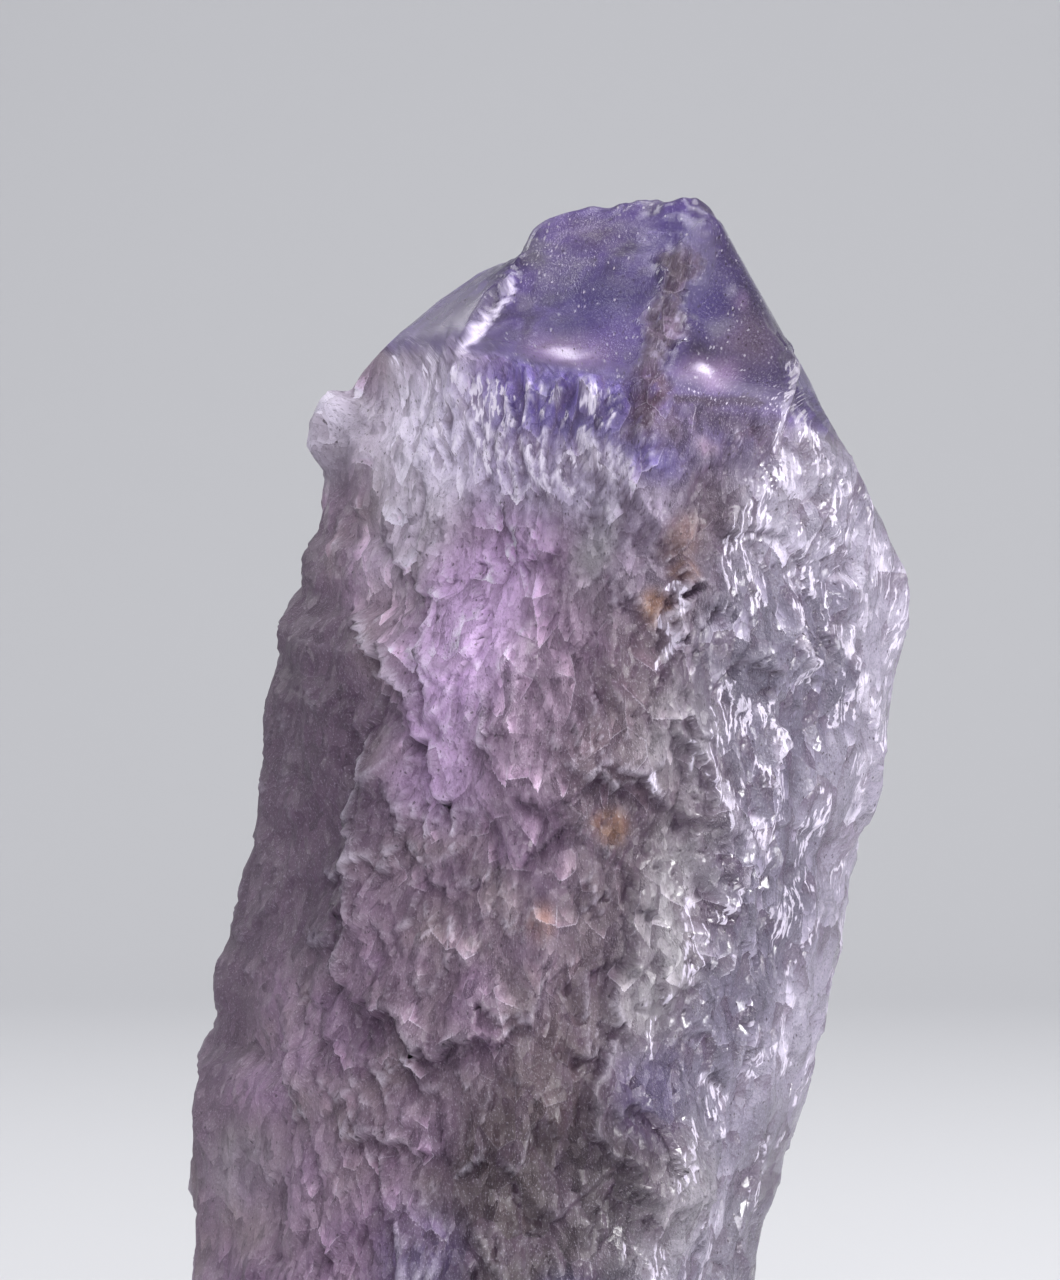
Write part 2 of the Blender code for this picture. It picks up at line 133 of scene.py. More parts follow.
# Etching patterns: width and length of a cell, height of the relief, and seed
LARGE_TONGUES = (5.2, 6.5, 0.95, 11)
SMALL_TONGUES = (2.4, 3.6, 0.5, 12)
FINE_TONGUES = (1.1, 1.7, 0.2, 17)
SHARDS = (1.9, 3.2, 0.42, 23)
SMALL_SHARDS = (0.85, 1.3, 0.22, 24)
RIGHT_SCOOPS = (2.6, 5.5, 1.0, 13)
LEFT_SCOOPS = (3.4, 4.2, 0.7, 14)
POINT_SCOOPS = (1.8, 3.0, 0.3, 15)
BACK_SCOOPS = (3.2, 3.4, 0.4, 16)
STREAKS = (0.75, 3.2, 0.14, 22)
RUBBLE = (0.6, 0.7, 0.4, 25)

# Soft swells: size, height on the body, height on the point, and seed
SWELLS = ((5.0, 0.4, 0.08, 1), (2.1, 0.1, 0.05, 2), (0.8, 0.04, 0.015, 3))

# Noise that bends the patterns: size and seed
WAVE = (3.4, 5)
PATCHES = (7.0, 8)
BEND = (3.0, 6)
RAGS = (0.8, 10)
WANDER = (2.5, 20)
CHIPS = (0.7, 26)
GRAIN_BEND = (1.8, 40)
GRAIN_STRETCH = (1.5, 41)

# The flakes' grain: how much of the way up it counts, the heights over which it turns from the
# way round the crystal into the way across, and how far that is shifted to meet it
GRAIN_HEIGHT = 0.65
GRAIN_TURNS = (53.0, 56.0)
GRAIN_SHIFT = 35.0

# Noise that bends and speckles the colours: size and seed
DRIFT = (6.0, 30)
PATCH = (2.4, 33)
CRUMBS = (0.8, 36)
GRIT = (0.45, 52)
VEIL = (1.8, 44)
DUST = (1.3, 47)
CLUSTERS = (1.5, 53)
EDGE_BEND = (0.5, 45)

# The front edge between the two front faces is worn: place across, half width and depth
WORN_EDGE = (1.0, 2.6, 1.1)

# Scales and blades hang to the right: how far they shift for each millimetre down
HANG = 0.24

# How far a ledge's edge follows the scales on it
SCALES_SHIFT = 1.6

# What the tongues and ledges add on average, taken off again so that the faces keep their place
TONGUE_MEAN = 0.6
LEDGE_MEAN = 0.3

# The fringe: pitch of its blades, height of their lower ends, how far they vary, thickness, seed
BLADES = (1.15, 47.6, 2.2, 1.2, 21)

# How far the blades stand out in the relief, as a share; where they start and end across the
# front, where they fade out above, and where they end higher towards the left
FRINGE_SHARE = 0.33
FRINGE_LEFT = (-13.5, -11.5)
FRINGE_RIGHT = (-1.8, 0.4)
FRINGE_TOP = (52.8, 53.7)
FRINGE_RISE = (-5.0, -9.0)

# Rounded knobs: (across, depth, up, radius, height)
KNOBS = (
    (-14.4, 2.2, 50.2, 1.1, 1.4), (-14.7, 2.2, 48.4, 1.0, 1.3), (12.0, -5.5, 46.0, 1.2, 0.7),
    (-2.6, -11.5, 52.6, 0.8, 0.4), (8.5, -9.0, 17.0, 2.6, 0.6), (6.4, -10.5, 27.0, 2.0, 0.5),
)

# The crumbled edge between the two front faces of the point: its place across at a height, how
# it leans, its half width, how much that varies, and where it starts and ends up the crystal
CRUMBLED_EDGE = (0.3, 56.0, 0.04)
CRUMBLED_WIDTH = (1.1, 0.4)
CRUMBLED_FOOT = (50.5, 52.0)
CRUMBLED_TOP = (62.0, 60.5)

# Borders of the surface's zones, each as where it starts and where it is full: by the
# direction outwards, by the way below the faces of the point, across, and up
FACING_FRONT = (0.05, 0.35)
NEAR_OUTER_SIDE = (0.88, 0.98)
ON_OUTER_SIDE = (0.88, 0.985)
BELOW_POINT = (-0.4, 0.8)
WELL_BELOW_POINT = (-0.4, 4.0)
RIGHT_SIDE = (6.5, 9.5)
PAST_LEFT_SIDE = (-11.0, -8.0)
PAST_MIDDLE = (0.0, 2.5)
STREAKS_LEFT = (-2.5, 0.5)
STREAKS_RIGHT = (7.0, 4.5)
RIGHT_OF_POINT = (5.6, 6.8)
SIDES_END = (50.0, 54.0)
HOLLOW_TOP = (53.0, 46.0)
TIP_EDGE = (62.0, 63.0)

# Colours of the quartz, as linear light
DEEP_VIOLET = (0.28, 0.18, 0.60, 1.0)
LILAC = (0.44, 0.37, 0.54, 1.0)
ROSE = (0.36, 0.25, 0.36, 1.0)
# Painted sheen: the far right side lighter where the light falls on it
PAINTED_SHEEN_SILVER = (0.44, 0.40, 0.51, 1.0)
DUSKY_VIOLET = (0.12, 0.085, 0.20, 1.0)
MAUVE = (0.28, 0.175, 0.29, 1.0)
# Painted shade: the quartz's mauve where shade falls on it
PAINTED_SHADE_MAUVE = (0.11, 0.063, 0.11, 1.0)
DUSK = (0.115, 0.075, 0.10, 1.0)
# Painted glow: light shining through the quartz, painted into its colour
PAINTED_GLOW = (0.74, 0.49, 0.86, 1.0)
SILVER = (0.20, 0.178, 0.25, 1.0)
WARM = (0.26, 0.19, 0.225, 1.0)
BLUE_VIOLET = (0.12, 0.085, 0.33, 1.0)
RUST = (0.36, 0.16, 0.05, 1.0)
BROWN = (0.11, 0.06, 0.055, 1.0)
# White frost, also the white of painted glints, painted highlights and painted glow cores
FROST_AND_GLINT = (0.88, 0.80, 0.97, 1.0)
PALE = (0.42, 0.39, 0.43, 1.0)
CLEAR = (0.88, 0.80, 0.95, 1.0)
SPECK = (0.05, 0.03, 0.05, 1.0)

# Borders of the colours' zones, in the same way
FRONT_DEPTH = (0.0, 5.0)
DUSKY_MIDDLE = (-2.5, 2.5)
SILVER_SIDE = (4.0, 9.0)
# Where the painted sheen of the far right starts and is full
BRIGHT_SIDE = (10.5, 13.5)
# Painted shade on the lower left: across, the slanting line at its top, and its foot
SHADED_LEFT = (-6.5, -10.0)
SHADED_LEFT_TOP = (19.0, 14.0)
SHADED_LEFT_FOOT = (21.0, 25.0)
POINT_FOOT = (53.4, 54.3)
POLISHED_FOOT = (54.2, 55.2)
SHADED_FACE = ((0.8, 2.2), (7.0, 6.0))
SMOOTHER_RIGHT = (3.0, 9.0)
ROUGHER_LEFT = (-7.5, -8.5)
GLINTING_SIDE = (3.0, 8.0)
GLINTING_FOOT = (16.0, 26.0)
PALER_RIGHT = (3.0, 7.0)
WHITE_CRESTS_TOP = (53.4, 52.4)
RIBS = ((47.0, 49.5), (53.5, 52.0), (0.0, -1.5))
CURTAIN = ((49.8, 51.2), (54.6, 53.8), (0.2, -1.3))
CURTAIN_LEFT = (-8.5, -6.5)
LOBES_TOP = (51.5, 50.0)
DIM_FOOT = (25.0, 15.0)
DIM_SIDES = ((-7.0, 2.0), (9.0, 6.5), (11.5, 13.5))
# Less painted light on the flakes low on the left, in the painted shade, and low in the middle
DULL_LEFT = ((-6.5, -9.5), (19.0, 15.0))
DULL_MIDDLE = ((-2.5, 0.5), (27.0, 21.0))

# Clouds of colour in the body, among them painted glow, painted shade and painted sheen: centre, radii,
# colour, strength
TINTS = (
    # Painted glow of light through the violet middle
    ((-5.8, -11.0, 40.5), (2.5, 9.0, 7.0), PAINTED_GLOW, 0.85),
    ((-11.0, -7.0, 50.0), (4.4, 7.0, 3.4), FROST_AND_GLINT, 1.0),
    ((-10.5, -8.0, 45.5), (2.2, 6.0, 3.2), FROST_AND_GLINT, 0.45),
    ((-4.0, -12.0, 52.4), (4.8, 5.0, 1.9), DEEP_VIOLET, 0.9),
    ((-5.0, -12.0, 48.2), (4.5, 5.0, 1.1), FROST_AND_GLINT, 0.6),
    ((-2.4, -12.0, 49.6), (2.0, 4.0, 1.8), FROST_AND_GLINT, 0.85),
    ((0.6, -12.0, 46.2), (2.6, 4.0, 3.0), LILAC, 0.35),
    ((-1.3, -12.0, 46.5), (1.0, 5.0, 2.6), PALE, 0.9),
    ((5.6, -11.0, 28.0), (1.5, 5.0, 5.0), PALE, 0.85),
    ((4.8, -11.0, 38.0), (1.5, 5.0, 2.5), PALE, 0.5),
    ((9.4, -9.0, 15.8), (2.6, 5.0, 3.2), PALE, 0.75),
    ((-13.0, -5.0, 12.5), (2.0, 5.0, 2.0), PALE, 0.6),
    # Painted glow, lower down
    ((-6.0, -12.0, 33.0), (2.2, 5.0, 2.0), PAINTED_GLOW, 0.4),
    ((-3.2, -12.0, 49.2), (4.6, 5.0, 2.6), LILAC, 0.85),
    ((-2.0, -12.0, 37.0), (2.2, 5.0, 6.0), ROSE, 0.7),
    ((7.6, -9.0, 42.5), (3.2, 6.0, 5.0), SILVER, 0.9),
    # Painted sheen on the upper right
    ((9.0, -10.0, 50.0), (3.4, 5.0, 3.2), PAINTED_SHEEN_SILVER, 0.9),
    ((-10.5, -8.0, 41.5), (2.0, 6.0, 2.2), ROSE, 0.5),
    ((4.2, -12.0, 15.0), (4.2, 5.0, 6.4), DUSK, 0.95),
    # Painted shade down the left flank, which faces away from the light
    ((-14.5, 1.0, 28.0), (2.4, 6.0, 14.0), PAINTED_SHADE_MAUVE, 0.95),
    ((-10.0, -8.0, 12.0), (2.5, 5.0, 3.0), ROSE, 0.5),
    ((-5.5, -12.0, 22.0), (3.5, 5.0, 4.0), DUSK, 0.4),
    ((-14.6, 2.2, 49.4), (1.4, 3.0, 2.2), FROST_AND_GLINT, 0.95),
    ((6.5, -11.0, 20.5), (1.6, 4.0, 2.2), BLUE_VIOLET, 0.35),
    ((-2.0, -12.0, 11.0), (2.2, 4.0, 2.6), BLUE_VIOLET, 0.45),
    ((6.0, -11.0, 10.5), (1.6, 4.0, 1.6), BLUE_VIOLET, 0.7),
    ((0.8, -13.0, 50.5), (1.6, 4.0, 1.2), BLUE_VIOLET, 0.8),
    ((2.7, -13.0, 43.7), (0.8, 4.0, 0.8), RUST, 0.6),
    ((3.8, -13.0, 45.7), (0.6, 4.0, 0.5), RUST, 0.5),
    ((3.0, -13.0, 47.2), (0.9, 4.0, 0.9), RUST, 0.3),
    ((2.4, -13.0, 32.6), (0.7, 4.0, 0.9), RUST, 0.55),
    ((-7.8, -10.0, 50.6), (5.0, 7.0, 3.4), DEEP_VIOLET, 0.22),
    ((-0.1, -13.0, 27.6), (0.7, 4.0, 0.8), RUST, 0.4),
    ((1.8, -13.0, 17.0), (2.2, 4.0, 7.0), BROWN, 0.35),
)

# Painted glows, some with painted white cores, and stains in the point
POINT_TINTS = (
    ((3.8, -9.0, 57.5), (3.4, 6.0, 6.0), DUSKY_VIOLET, 0.8),
    ((3.2, -11.0, 53.0), (3.4, 4.0, 1.9), DUSKY_VIOLET, 0.95),
    ((4.4, -9.0, 57.4), (1.3, 4.0, 1.5), ROSE, 0.55),
    ((1.8, -9.5, 57.9), (0.24, 2.0, 0.24), PALE, 0.9),
    ((2.8, -9.5, 57.6), (0.5, 2.0, 0.45), PALE, 0.7),
    ((3.0, -9.0, 59.4), (0.25, 2.0, 0.3), FROST_AND_GLINT, 1.0),
    # Painted glow
    ((3.7, -9.0, 59.2), (0.5, 2.0, 0.5), PAINTED_GLOW, 0.7),
    ((2.5, -9.0, 60.0), (0.6, 2.0, 0.5), LILAC, 0.6),
    ((2.2, -9.5, 56.3), (0.6, 2.0, 0.4), SPECK, 0.75),
    ((-1.6, -9.0, 57.5), (0.5, 2.0, 0.5), LILAC, 0.35),
    ((-0.1, -8.0, 61.8), (1.3, 3.0, 1.2), DEEP_VIOLET, 0.8),
    ((-2.5, -8.0, 62.0), (0.55, 2.0, 0.4), PALE, 0.5),
    ((2.5, -11.0, 52.7), (0.9, 2.0, 0.7), SPECK, 0.6),
    ((4.8, -10.0, 53.0), (0.8, 2.0, 0.5), SPECK, 0.6),
    ((3.4, -11.0, 51.7), (0.6, 2.0, 0.4), ROSE, 0.8),
    ((0.0, -8.0, 60.0), (0.6, 2.0, 0.5), SPECK, 0.6),
    ((-4.9, -10.5, 52.2), (0.25, 2.0, 0.3), FROST_AND_GLINT, 1.0),
    ((-1.0, -10.0, 55.4), (0.3, 2.0, 0.25), PALE, 0.8),
    ((-4.9, -8.0, 61.5), (2.2, 4.0, 1.1), ROSE, 0.8),
    ((-0.4, -8.0, 62.0), (1.5, 4.0, 1.2), BLUE_VIOLET, 0.8),
    ((-3.0, -9.0, 57.8), (2.4, 4.0, 1.9), BLUE_VIOLET, 0.9),
    ((-3.0, -8.0, 61.6), (0.6, 3.0, 0.4), PALE, 0.6),
    ((-5.8, -9.0, 59.2), (1.4, 4.0, 1.3), LILAC, 0.6),
    ((-6.9, -7.0, 59.9), (0.6, 4.0, 1.0), PALE, 0.8),
    # Painted glow with its painted white core
    ((-4.0, -10.0, 55.1), (1.9, 3.0, 0.9), PAINTED_GLOW, 0.6),
    ((-3.8, -10.0, 55.1), (0.8, 3.0, 0.35), FROST_AND_GLINT, 0.8),
    ((-1.6, -10.5, 56.2), (1.4, 3.0, 1.4), DEEP_VIOLET, 0.6),
    # Painted glow with its painted white core
    ((2.8, -10.0, 55.2), (1.1, 3.0, 0.7), PAINTED_GLOW, 0.6),
    ((2.6, -10.0, 55.3), (0.5, 3.0, 0.3), FROST_AND_GLINT, 0.9),
    ((2.1, -9.0, 58.9), (1.3, 4.0, 1.8), BLUE_VIOLET, 0.6),
    ((-10.4, -6.0, 55.4), (2.2, 8.0, 2.4), LILAC, 0.7),
    ((3.6, -11.0, 53.3), (1.4, 3.0, 0.5), SPECK, 0.6),
    ((1.5, -11.0, 51.8), (0.9, 3.0, 0.7), BROWN, 0.5),
    ((4.5, -9.0, 57.2), (0.6, 3.0, 0.8), SPECK, 0.4),
)

# The dark seam under the right front face of the point: its path as (across, up) points, and
# the milky place behind it as centre and radii
UNDER_POINT = ((1.6, 53.6), (3.4, 53.9), (5.4, 54.1))
UNDER_MIDDLE = ((3.4, -11.0, 53.6), (3.8, 4.0, 1.3))

# The worn place beside the tip's upper end, as centre and radii
WORN_TIP = ((1.3, -8.0, 61.0), (0.9, 4.0, 2.2))

# The white speckled ridge along the left front face of the point
WHITE_RIDGE = ((-7.3, 57.6), (-8.0, 56.2), (-9.0, 53.8))

# Painted glints along edges on the front: half width and path
PAINTED_GLINT_EDGES = (
    (0.45, ((-10.5, 53.6), (-10.2, 51.6), (-9.6, 50.2))),
    (0.3, ((-9.0, 52.8), (-8.3, 50.9))),
    (0.22, ((-7.2, 52.9), (-7.0, 51.5))),
    (0.25, ((-12.3, 53.4), (-11.6, 52.0))),
    (0.35, ((6.5, 57.2), (7.0, 55.0), (8.3, 53.2))),
    (0.4, ((6.7, 54.6), (6.6, 52.4), (7.6, 51.2))),
    (0.3, ((9.3, 53.0), (9.6, 50.0))),
    (0.35, ((10.8, 51.6), (11.4, 48.6))),
    (0.5, ((12.2, 49.8), (13.4, 47.8))),
    (0.35, ((11.2, 47.0), (12.6, 46.2), (12.9, 44.9))),
    (0.45, ((9.1, 46.6), (9.4, 44.6), (10.4, 41.8))),
    (0.5, ((11.5, 44.4), (12.6, 43.0), (14.2, 40.6))),
    (0.3, ((3.3, 44.9), (4.0, 44.1), (3.2, 43.2), (4.0, 42.3), (3.4, 41.0))),
    (0.4, ((8.6, 39.8), (9.6, 38.4), (9.8, 36.6))),
    (0.3, ((6.6, 36.6), (7.4, 35.2), (9.0, 33.6), (9.2, 31.2))),
    (0.5, ((9.4, 34.4), (10.6, 33.0))),
    (0.4, ((13.6, 38.6), (14.6, 34.0))),
    (0.5, ((14.9, 33.2), (15.2, 27.0), (15.0, 21.0))),
    (0.3, ((7.0, 30.0), (7.8, 27.8))),
    (0.35, ((9.6, 28.4), (9.2, 26.6))),
    (0.45, ((12.6, 25.4), (13.4, 22.6))),
    (0.3, ((9.9, 21.9), (10.8, 20.6))),
    (0.4, ((13.4, 18.8), (14.2, 15.4))),
    (0.3, ((3.9, 35.6), (5.0, 34.4))),
)

# How many times the relief is blurred to tell crests near by, and hollows farther round
CREST_BLUR = 5
LIP_BLUR = 40

# Values stored on the surface, and what they are over the cut foot and at the last point
STORED = ("milk", "rough", "etched", "shine", "lift")
FOOT_VALUES = (0.8, 0.5, 0.0, 0.0, 0.0)
LAST_VALUES = (0.4, 0.15, 0.0, 0.0, 0.0)

# The grid: columns round the front and back; rows up the cut, the foot, the body and the
# point; and the height at which the foot's rays have turned level
FRONT_COLUMNS = 214
BACK_COLUMNS = 96
CUT_ROWS = 7
FOOT_ROWS = 36
BODY_ROWS = 144
POINT_ROWS = 128
FOOT_CENTRE = 12.0

# Quartz: how it bends light, and the colour and density of what it lets through
QUARTZ_IOR = 1.544
QUARTZ_DEPTH = (0.50, 0.36, 0.78, 1.0)
QUARTZ_DENSITY = 90.0

# Flakes in the material: flakes to a millimetre, how much they tilt, and how far they hang;
# and the painted light on the flakes that face up, as how much lighter than the tint they are
BROAD_FLAKES = (0.7, 0.6, 0.35)
SMALL_FLAKES = (2.3, 1.0, 0.3)
PAINTED_FLAKE_LIGHT = (2.1, 2.1, 2.05)

# Noise in the materials: scale, detail and roughness
SUGAR = (10.0, 2.0, 0.8)
FLAKE_DRIFT = (0.35, 2.0, 0.6)
SWIRL = (1.0, 3.0, 0.6)
PAPER_FLECKS = (6.0, 2.0, 0.55)

# Dots in the material: how many to a millimetre
SPECK_CELLS = 2.2
DUST_CELLS = 5.0

# The studio, in metres: the paper and its flecks, the sky, and each light's name, place,
# width and height, and power
PAPER = (0.62, 0.62, 0.64, 1.0)
PAPER_SHADE = (0.5, 0.5, 0.5, 1.0)
SKY = (0.80, 0.82, 0.88, 1.0)
SKY_STRENGTH = 0.4
LIGHT_TARGET = (0.0, 0.0, 0.035)
LIGHTS = (
    ("right_key", (0.34, -0.10, 0.26), (0.05, 0.10), 1.3),
    ("left_rim", (-0.28, 0.24, 0.34), (0.2, 0.2), 0.35),
    ("front_fill", (0.02, -0.46, 0.38), (0.7, 0.6), 2.7),
    ("top", (0.05, 0.10, 0.50), (0.3, 0.3), 0.8),
)


def ramp(value, start, end):
    """Smooth step from 0 at start to 1 at end."""
    share = np.clip((value - start) / (end - start), 0.0, 1.0)
    return share * share * (3.0 - 2.0 * share)


def noise(points, size, seed):
    """Soft noise from -1 to 1: seeded values on a cubic lattice, blended by smooth steps."""
    count = 32
    lattice = np.random.default_rng(seed).uniform(-1.0, 1.0, (count, count, count))
    cell = np.floor(points / size).astype(int)
    share = points / size - cell
    share = share * share * (3.0 - 2.0 * share)
    total = np.zeros(len(points))
    for corner in np.ndindex(2, 2, 2):
        near = np.array(corner)
        weight = np.prod(np.where(near == 1, share, 1.0 - share), axis=1)
        place = (cell + near) % count
        total += weight * lattice[place[:, 0], place[:, 1], place[:, 2]]
    return total


def cells(around, up, width, length, seed):
    """The near cells of a jittered brick pattern that closes round the crystal.

    For each neighbour: how far the point is from its centre, in cells sideways and upwards,
    and two seeded values from 0 to 1.
    """
    columns = max(3, round(2.0 * math.pi * GIRTH_RADIUS / width))
    rows = 64
    seeds = np.random.default_rng(seed).uniform(0.0, 1.0, (columns, rows, 4))
    column = around / (2.0 * math.pi) * columns
    row = up / length
    for right in (-1, 0, 1):
        for above in (-2, -1, 0, 1):
            column_cell = np.floor(column).astype(int) + right
            row_cell = np.floor(row).astype(int) + above
            pick = seeds[column_cell % columns, row_cell % rows]
            sideways = column - column_cell - 0.1 - 0.8 * pick[:, 0]
            upwards = row - row_cell - pick[:, 1]
            yield sideways, upwards, pick[:, 2], pick[:, 3]


def tongues(around, up, pattern):
    """Overlapping scales that hang down: the highest of the near ones, where each is its
    thickness, times a fade up from its V-shaped lower edge, times a fade to its two sides."""
    width, length, height, seed = pattern
    top = np.zeros(len(up))
    for sideways, upwards, breadth, thickness in cells(around, up, width, length, seed):
        side = (sideways + 0.5 * (thickness - 0.5) * upwards) / (0.5 + 0.4 * breadth)
        above = upwards - 0.55 * np.abs(side) ** 1.3
        body = (0.45 + 0.55 * thickness) * np.exp(-1.5 * np.clip(above, 0.0, None))
        body *= ramp(above, -0.03, 0.03) * (1.0 - np.clip(np.abs(side), 0.0, 1.0) ** 3)
        body *= 1.0 + 0.35 * (2.0 * breadth - 1.0) * side
        top = np.maximum(top, body)
    return height * top


def scoops(around, up, pattern):
    """Long shallow hollows that meet in sharp crests: the squared way to the nearest centre."""
    width, length, height, seed = pattern
    nearest = np.full(len(up), 4.0)
    for sideways, upwards, breadth, _ in cells(around, up, width, length, seed):
        nearest = np.minimum(nearest, sideways ** 2 * (0.8 + 0.6 * breadth) + upwards ** 2)
    return height * (np.clip(nearest, 0.0, 1.0) - 0.35)


def shards(around, up, pattern):
    """Flat splinters: in each cell of the brick pattern a plane with its own height, tilted
    sideways by a seeded amount and outwards towards its lower end, with steps between cells."""
    width, length, height, seed = pattern
    nearest = np.full(len(up), 9.0)
    level = np.zeros(len(up))
    for sideways, upwards, breadth, thickness in cells(around, up, width, length, seed):
        gap = sideways ** 2 + upwards ** 2
        plane = 0.9 * (thickness - 0.5) + 1.5 * (breadth - 0.5) * sideways - 0.45 * upwards
        level = np.where(gap < nearest, plane, level)
        nearest = np.minimum(gap, nearest)
    return height * level


def step(across, up, edge, height, fade):
    """A shelf that ends at an edge: the way past the edge, measured up for a mostly level edge
    and across for a mostly upright one, stepped at nought and fading as an exponential."""
    path = np.array(edge, dtype=float)
    run = path[-1] - path[0]
    level = abs(run[0]) > abs(run[1])
    lengthwise, off = (across, up) if level else (up, across)
    side = -1.0 if not level and run[1] > 0.0 else 1.0
    path = path if level else path[:, ::-1]
    path = path[np.argsort(path[:, 0])]
    share = np.clip((lengthwise - path[0, 0]) / (path[-1, 0] - path[0, 0]), 0.0, 1.0)
    line = np.interp(lengthwise, path[:, 0], path[:, 1])
    distance = side * (off - line)
    ends = np.sin(math.pi * share) ** 0.8
    return height * ends * ramp(distance, -0.12, 0.12) * np.exp(-np.clip(distance, 0.0, None) / fade)


def normals(faces):
    """Outward directions and distances of flat faces, from bearing, rise and distance."""
    bearing, rise, distance = np.array(faces, dtype=float).T
    turn = np.radians(bearing)
    lift = np.radians(rise)
    outward = np.stack([np.cos(lift) * np.cos(turn), np.cos(lift) * np.sin(turn), np.sin(lift)], axis=1)
    return outward, distance


def flatness(points, faces):
    """How far each point lies inside the nearest of the given faces."""
    outward, distance = normals(faces)
    return np.min(distance - points @ outward.T, axis=1)


def side_reach(across_share, up):
    """The outer sides' unevenness: their reach at each height, less the flat face's."""
    heights, reach = np.array(LEFT_REACH).T
    left = np.interp(up, heights, reach) - HALF_WIDTH
    heights, reach = np.array(RIGHT_REACH).T
    right = np.interp(up, heights, reach) - HALF_WIDTH
    below_point = 1.0 - ramp(up, *SIDES_END)
    on_left = ramp(-across_share, *ON_OUTER_SIDE)
    on_right = ramp(across_share, *ON_OUTER_SIDE)
    return below_point * (left * on_left + right * on_right)


def fringe(across, up):
    """The curtain of blades under the left front face of the point. Each blade is a roof-shaped
    rib of seeded thickness that leans with the scales and ends in a point at a seeded height."""
    pitch, lowest, varies, thickness, seed = BLADES
    seeds = np.random.default_rng(seed).uniform(0.0, 1.0, (64, 2))
    leaning = across + HANG * (up - lowest)
    leaning = leaning + 0.5 * np.sin(1.3 * leaning) + 0.25 * np.sin(3.7 * leaning + 1.0)
    blade = np.floor(leaning / pitch).astype(int)
    tooth = np.abs(2.0 * (leaning / pitch - blade) - 1.0)
    pick = seeds[blade % len(seeds)]
    end = lowest + varies * pick[:, 0] + 1.5 * tooth ** 1.5 + 1.4 * ramp(across, *FRINGE_RISE)
    here = ramp(across, *FRINGE_LEFT) * (1.0 - ramp(across, *FRINGE_RIGHT))
    top_start, top_end = FRINGE_TOP
    top = 1.0 - ramp(up, top_start + 0.6 * pick[:, 1], top_end + 0.5 * pick[:, 1])
    rib = thickness * (0.25 + 0.75 * pick[:, 1]) * (1.0 - 0.85 * tooth)
    return here * top * ramp(up, end - 0.12, end + 0.12) * rib


def knobs(points):
    """Round bumps and lumps, each flat-topped: the exponential of the fourth power of the way
    from its centre."""
    out = np.zeros(len(points))
    for across, depth, up, radius, height in KNOBS:
        off = points - np.array((across, depth, up))
        out += height * np.exp(-(np.sum(off * off, axis=1) / radius ** 2) ** 2)
    return out


def broken_ridge(across, up):
    """1 along the crumbled edge between the two front faces of the point, 0 away from it."""
    place, height, slope = CRUMBLED_EDGE
    middle = place + slope * (up - height)
    half_width, varies = CRUMBLED_WIDTH
    wide = half_width + varies * np.sin(1.9 * up)
    beside = ramp(np.abs(across - middle), wide, 0.4 * wide)
    return beside * ramp(up, *CRUMBLED_FOOT) * ramp(up, *CRUMBLED_TOP)


def right_of_point(across, up):
    """1 over the etched right faces of the point, 0 left of the edge that leans up to them."""
    return ramp(across + 0.3 * (up - 57.0), *RIGHT_OF_POINT)


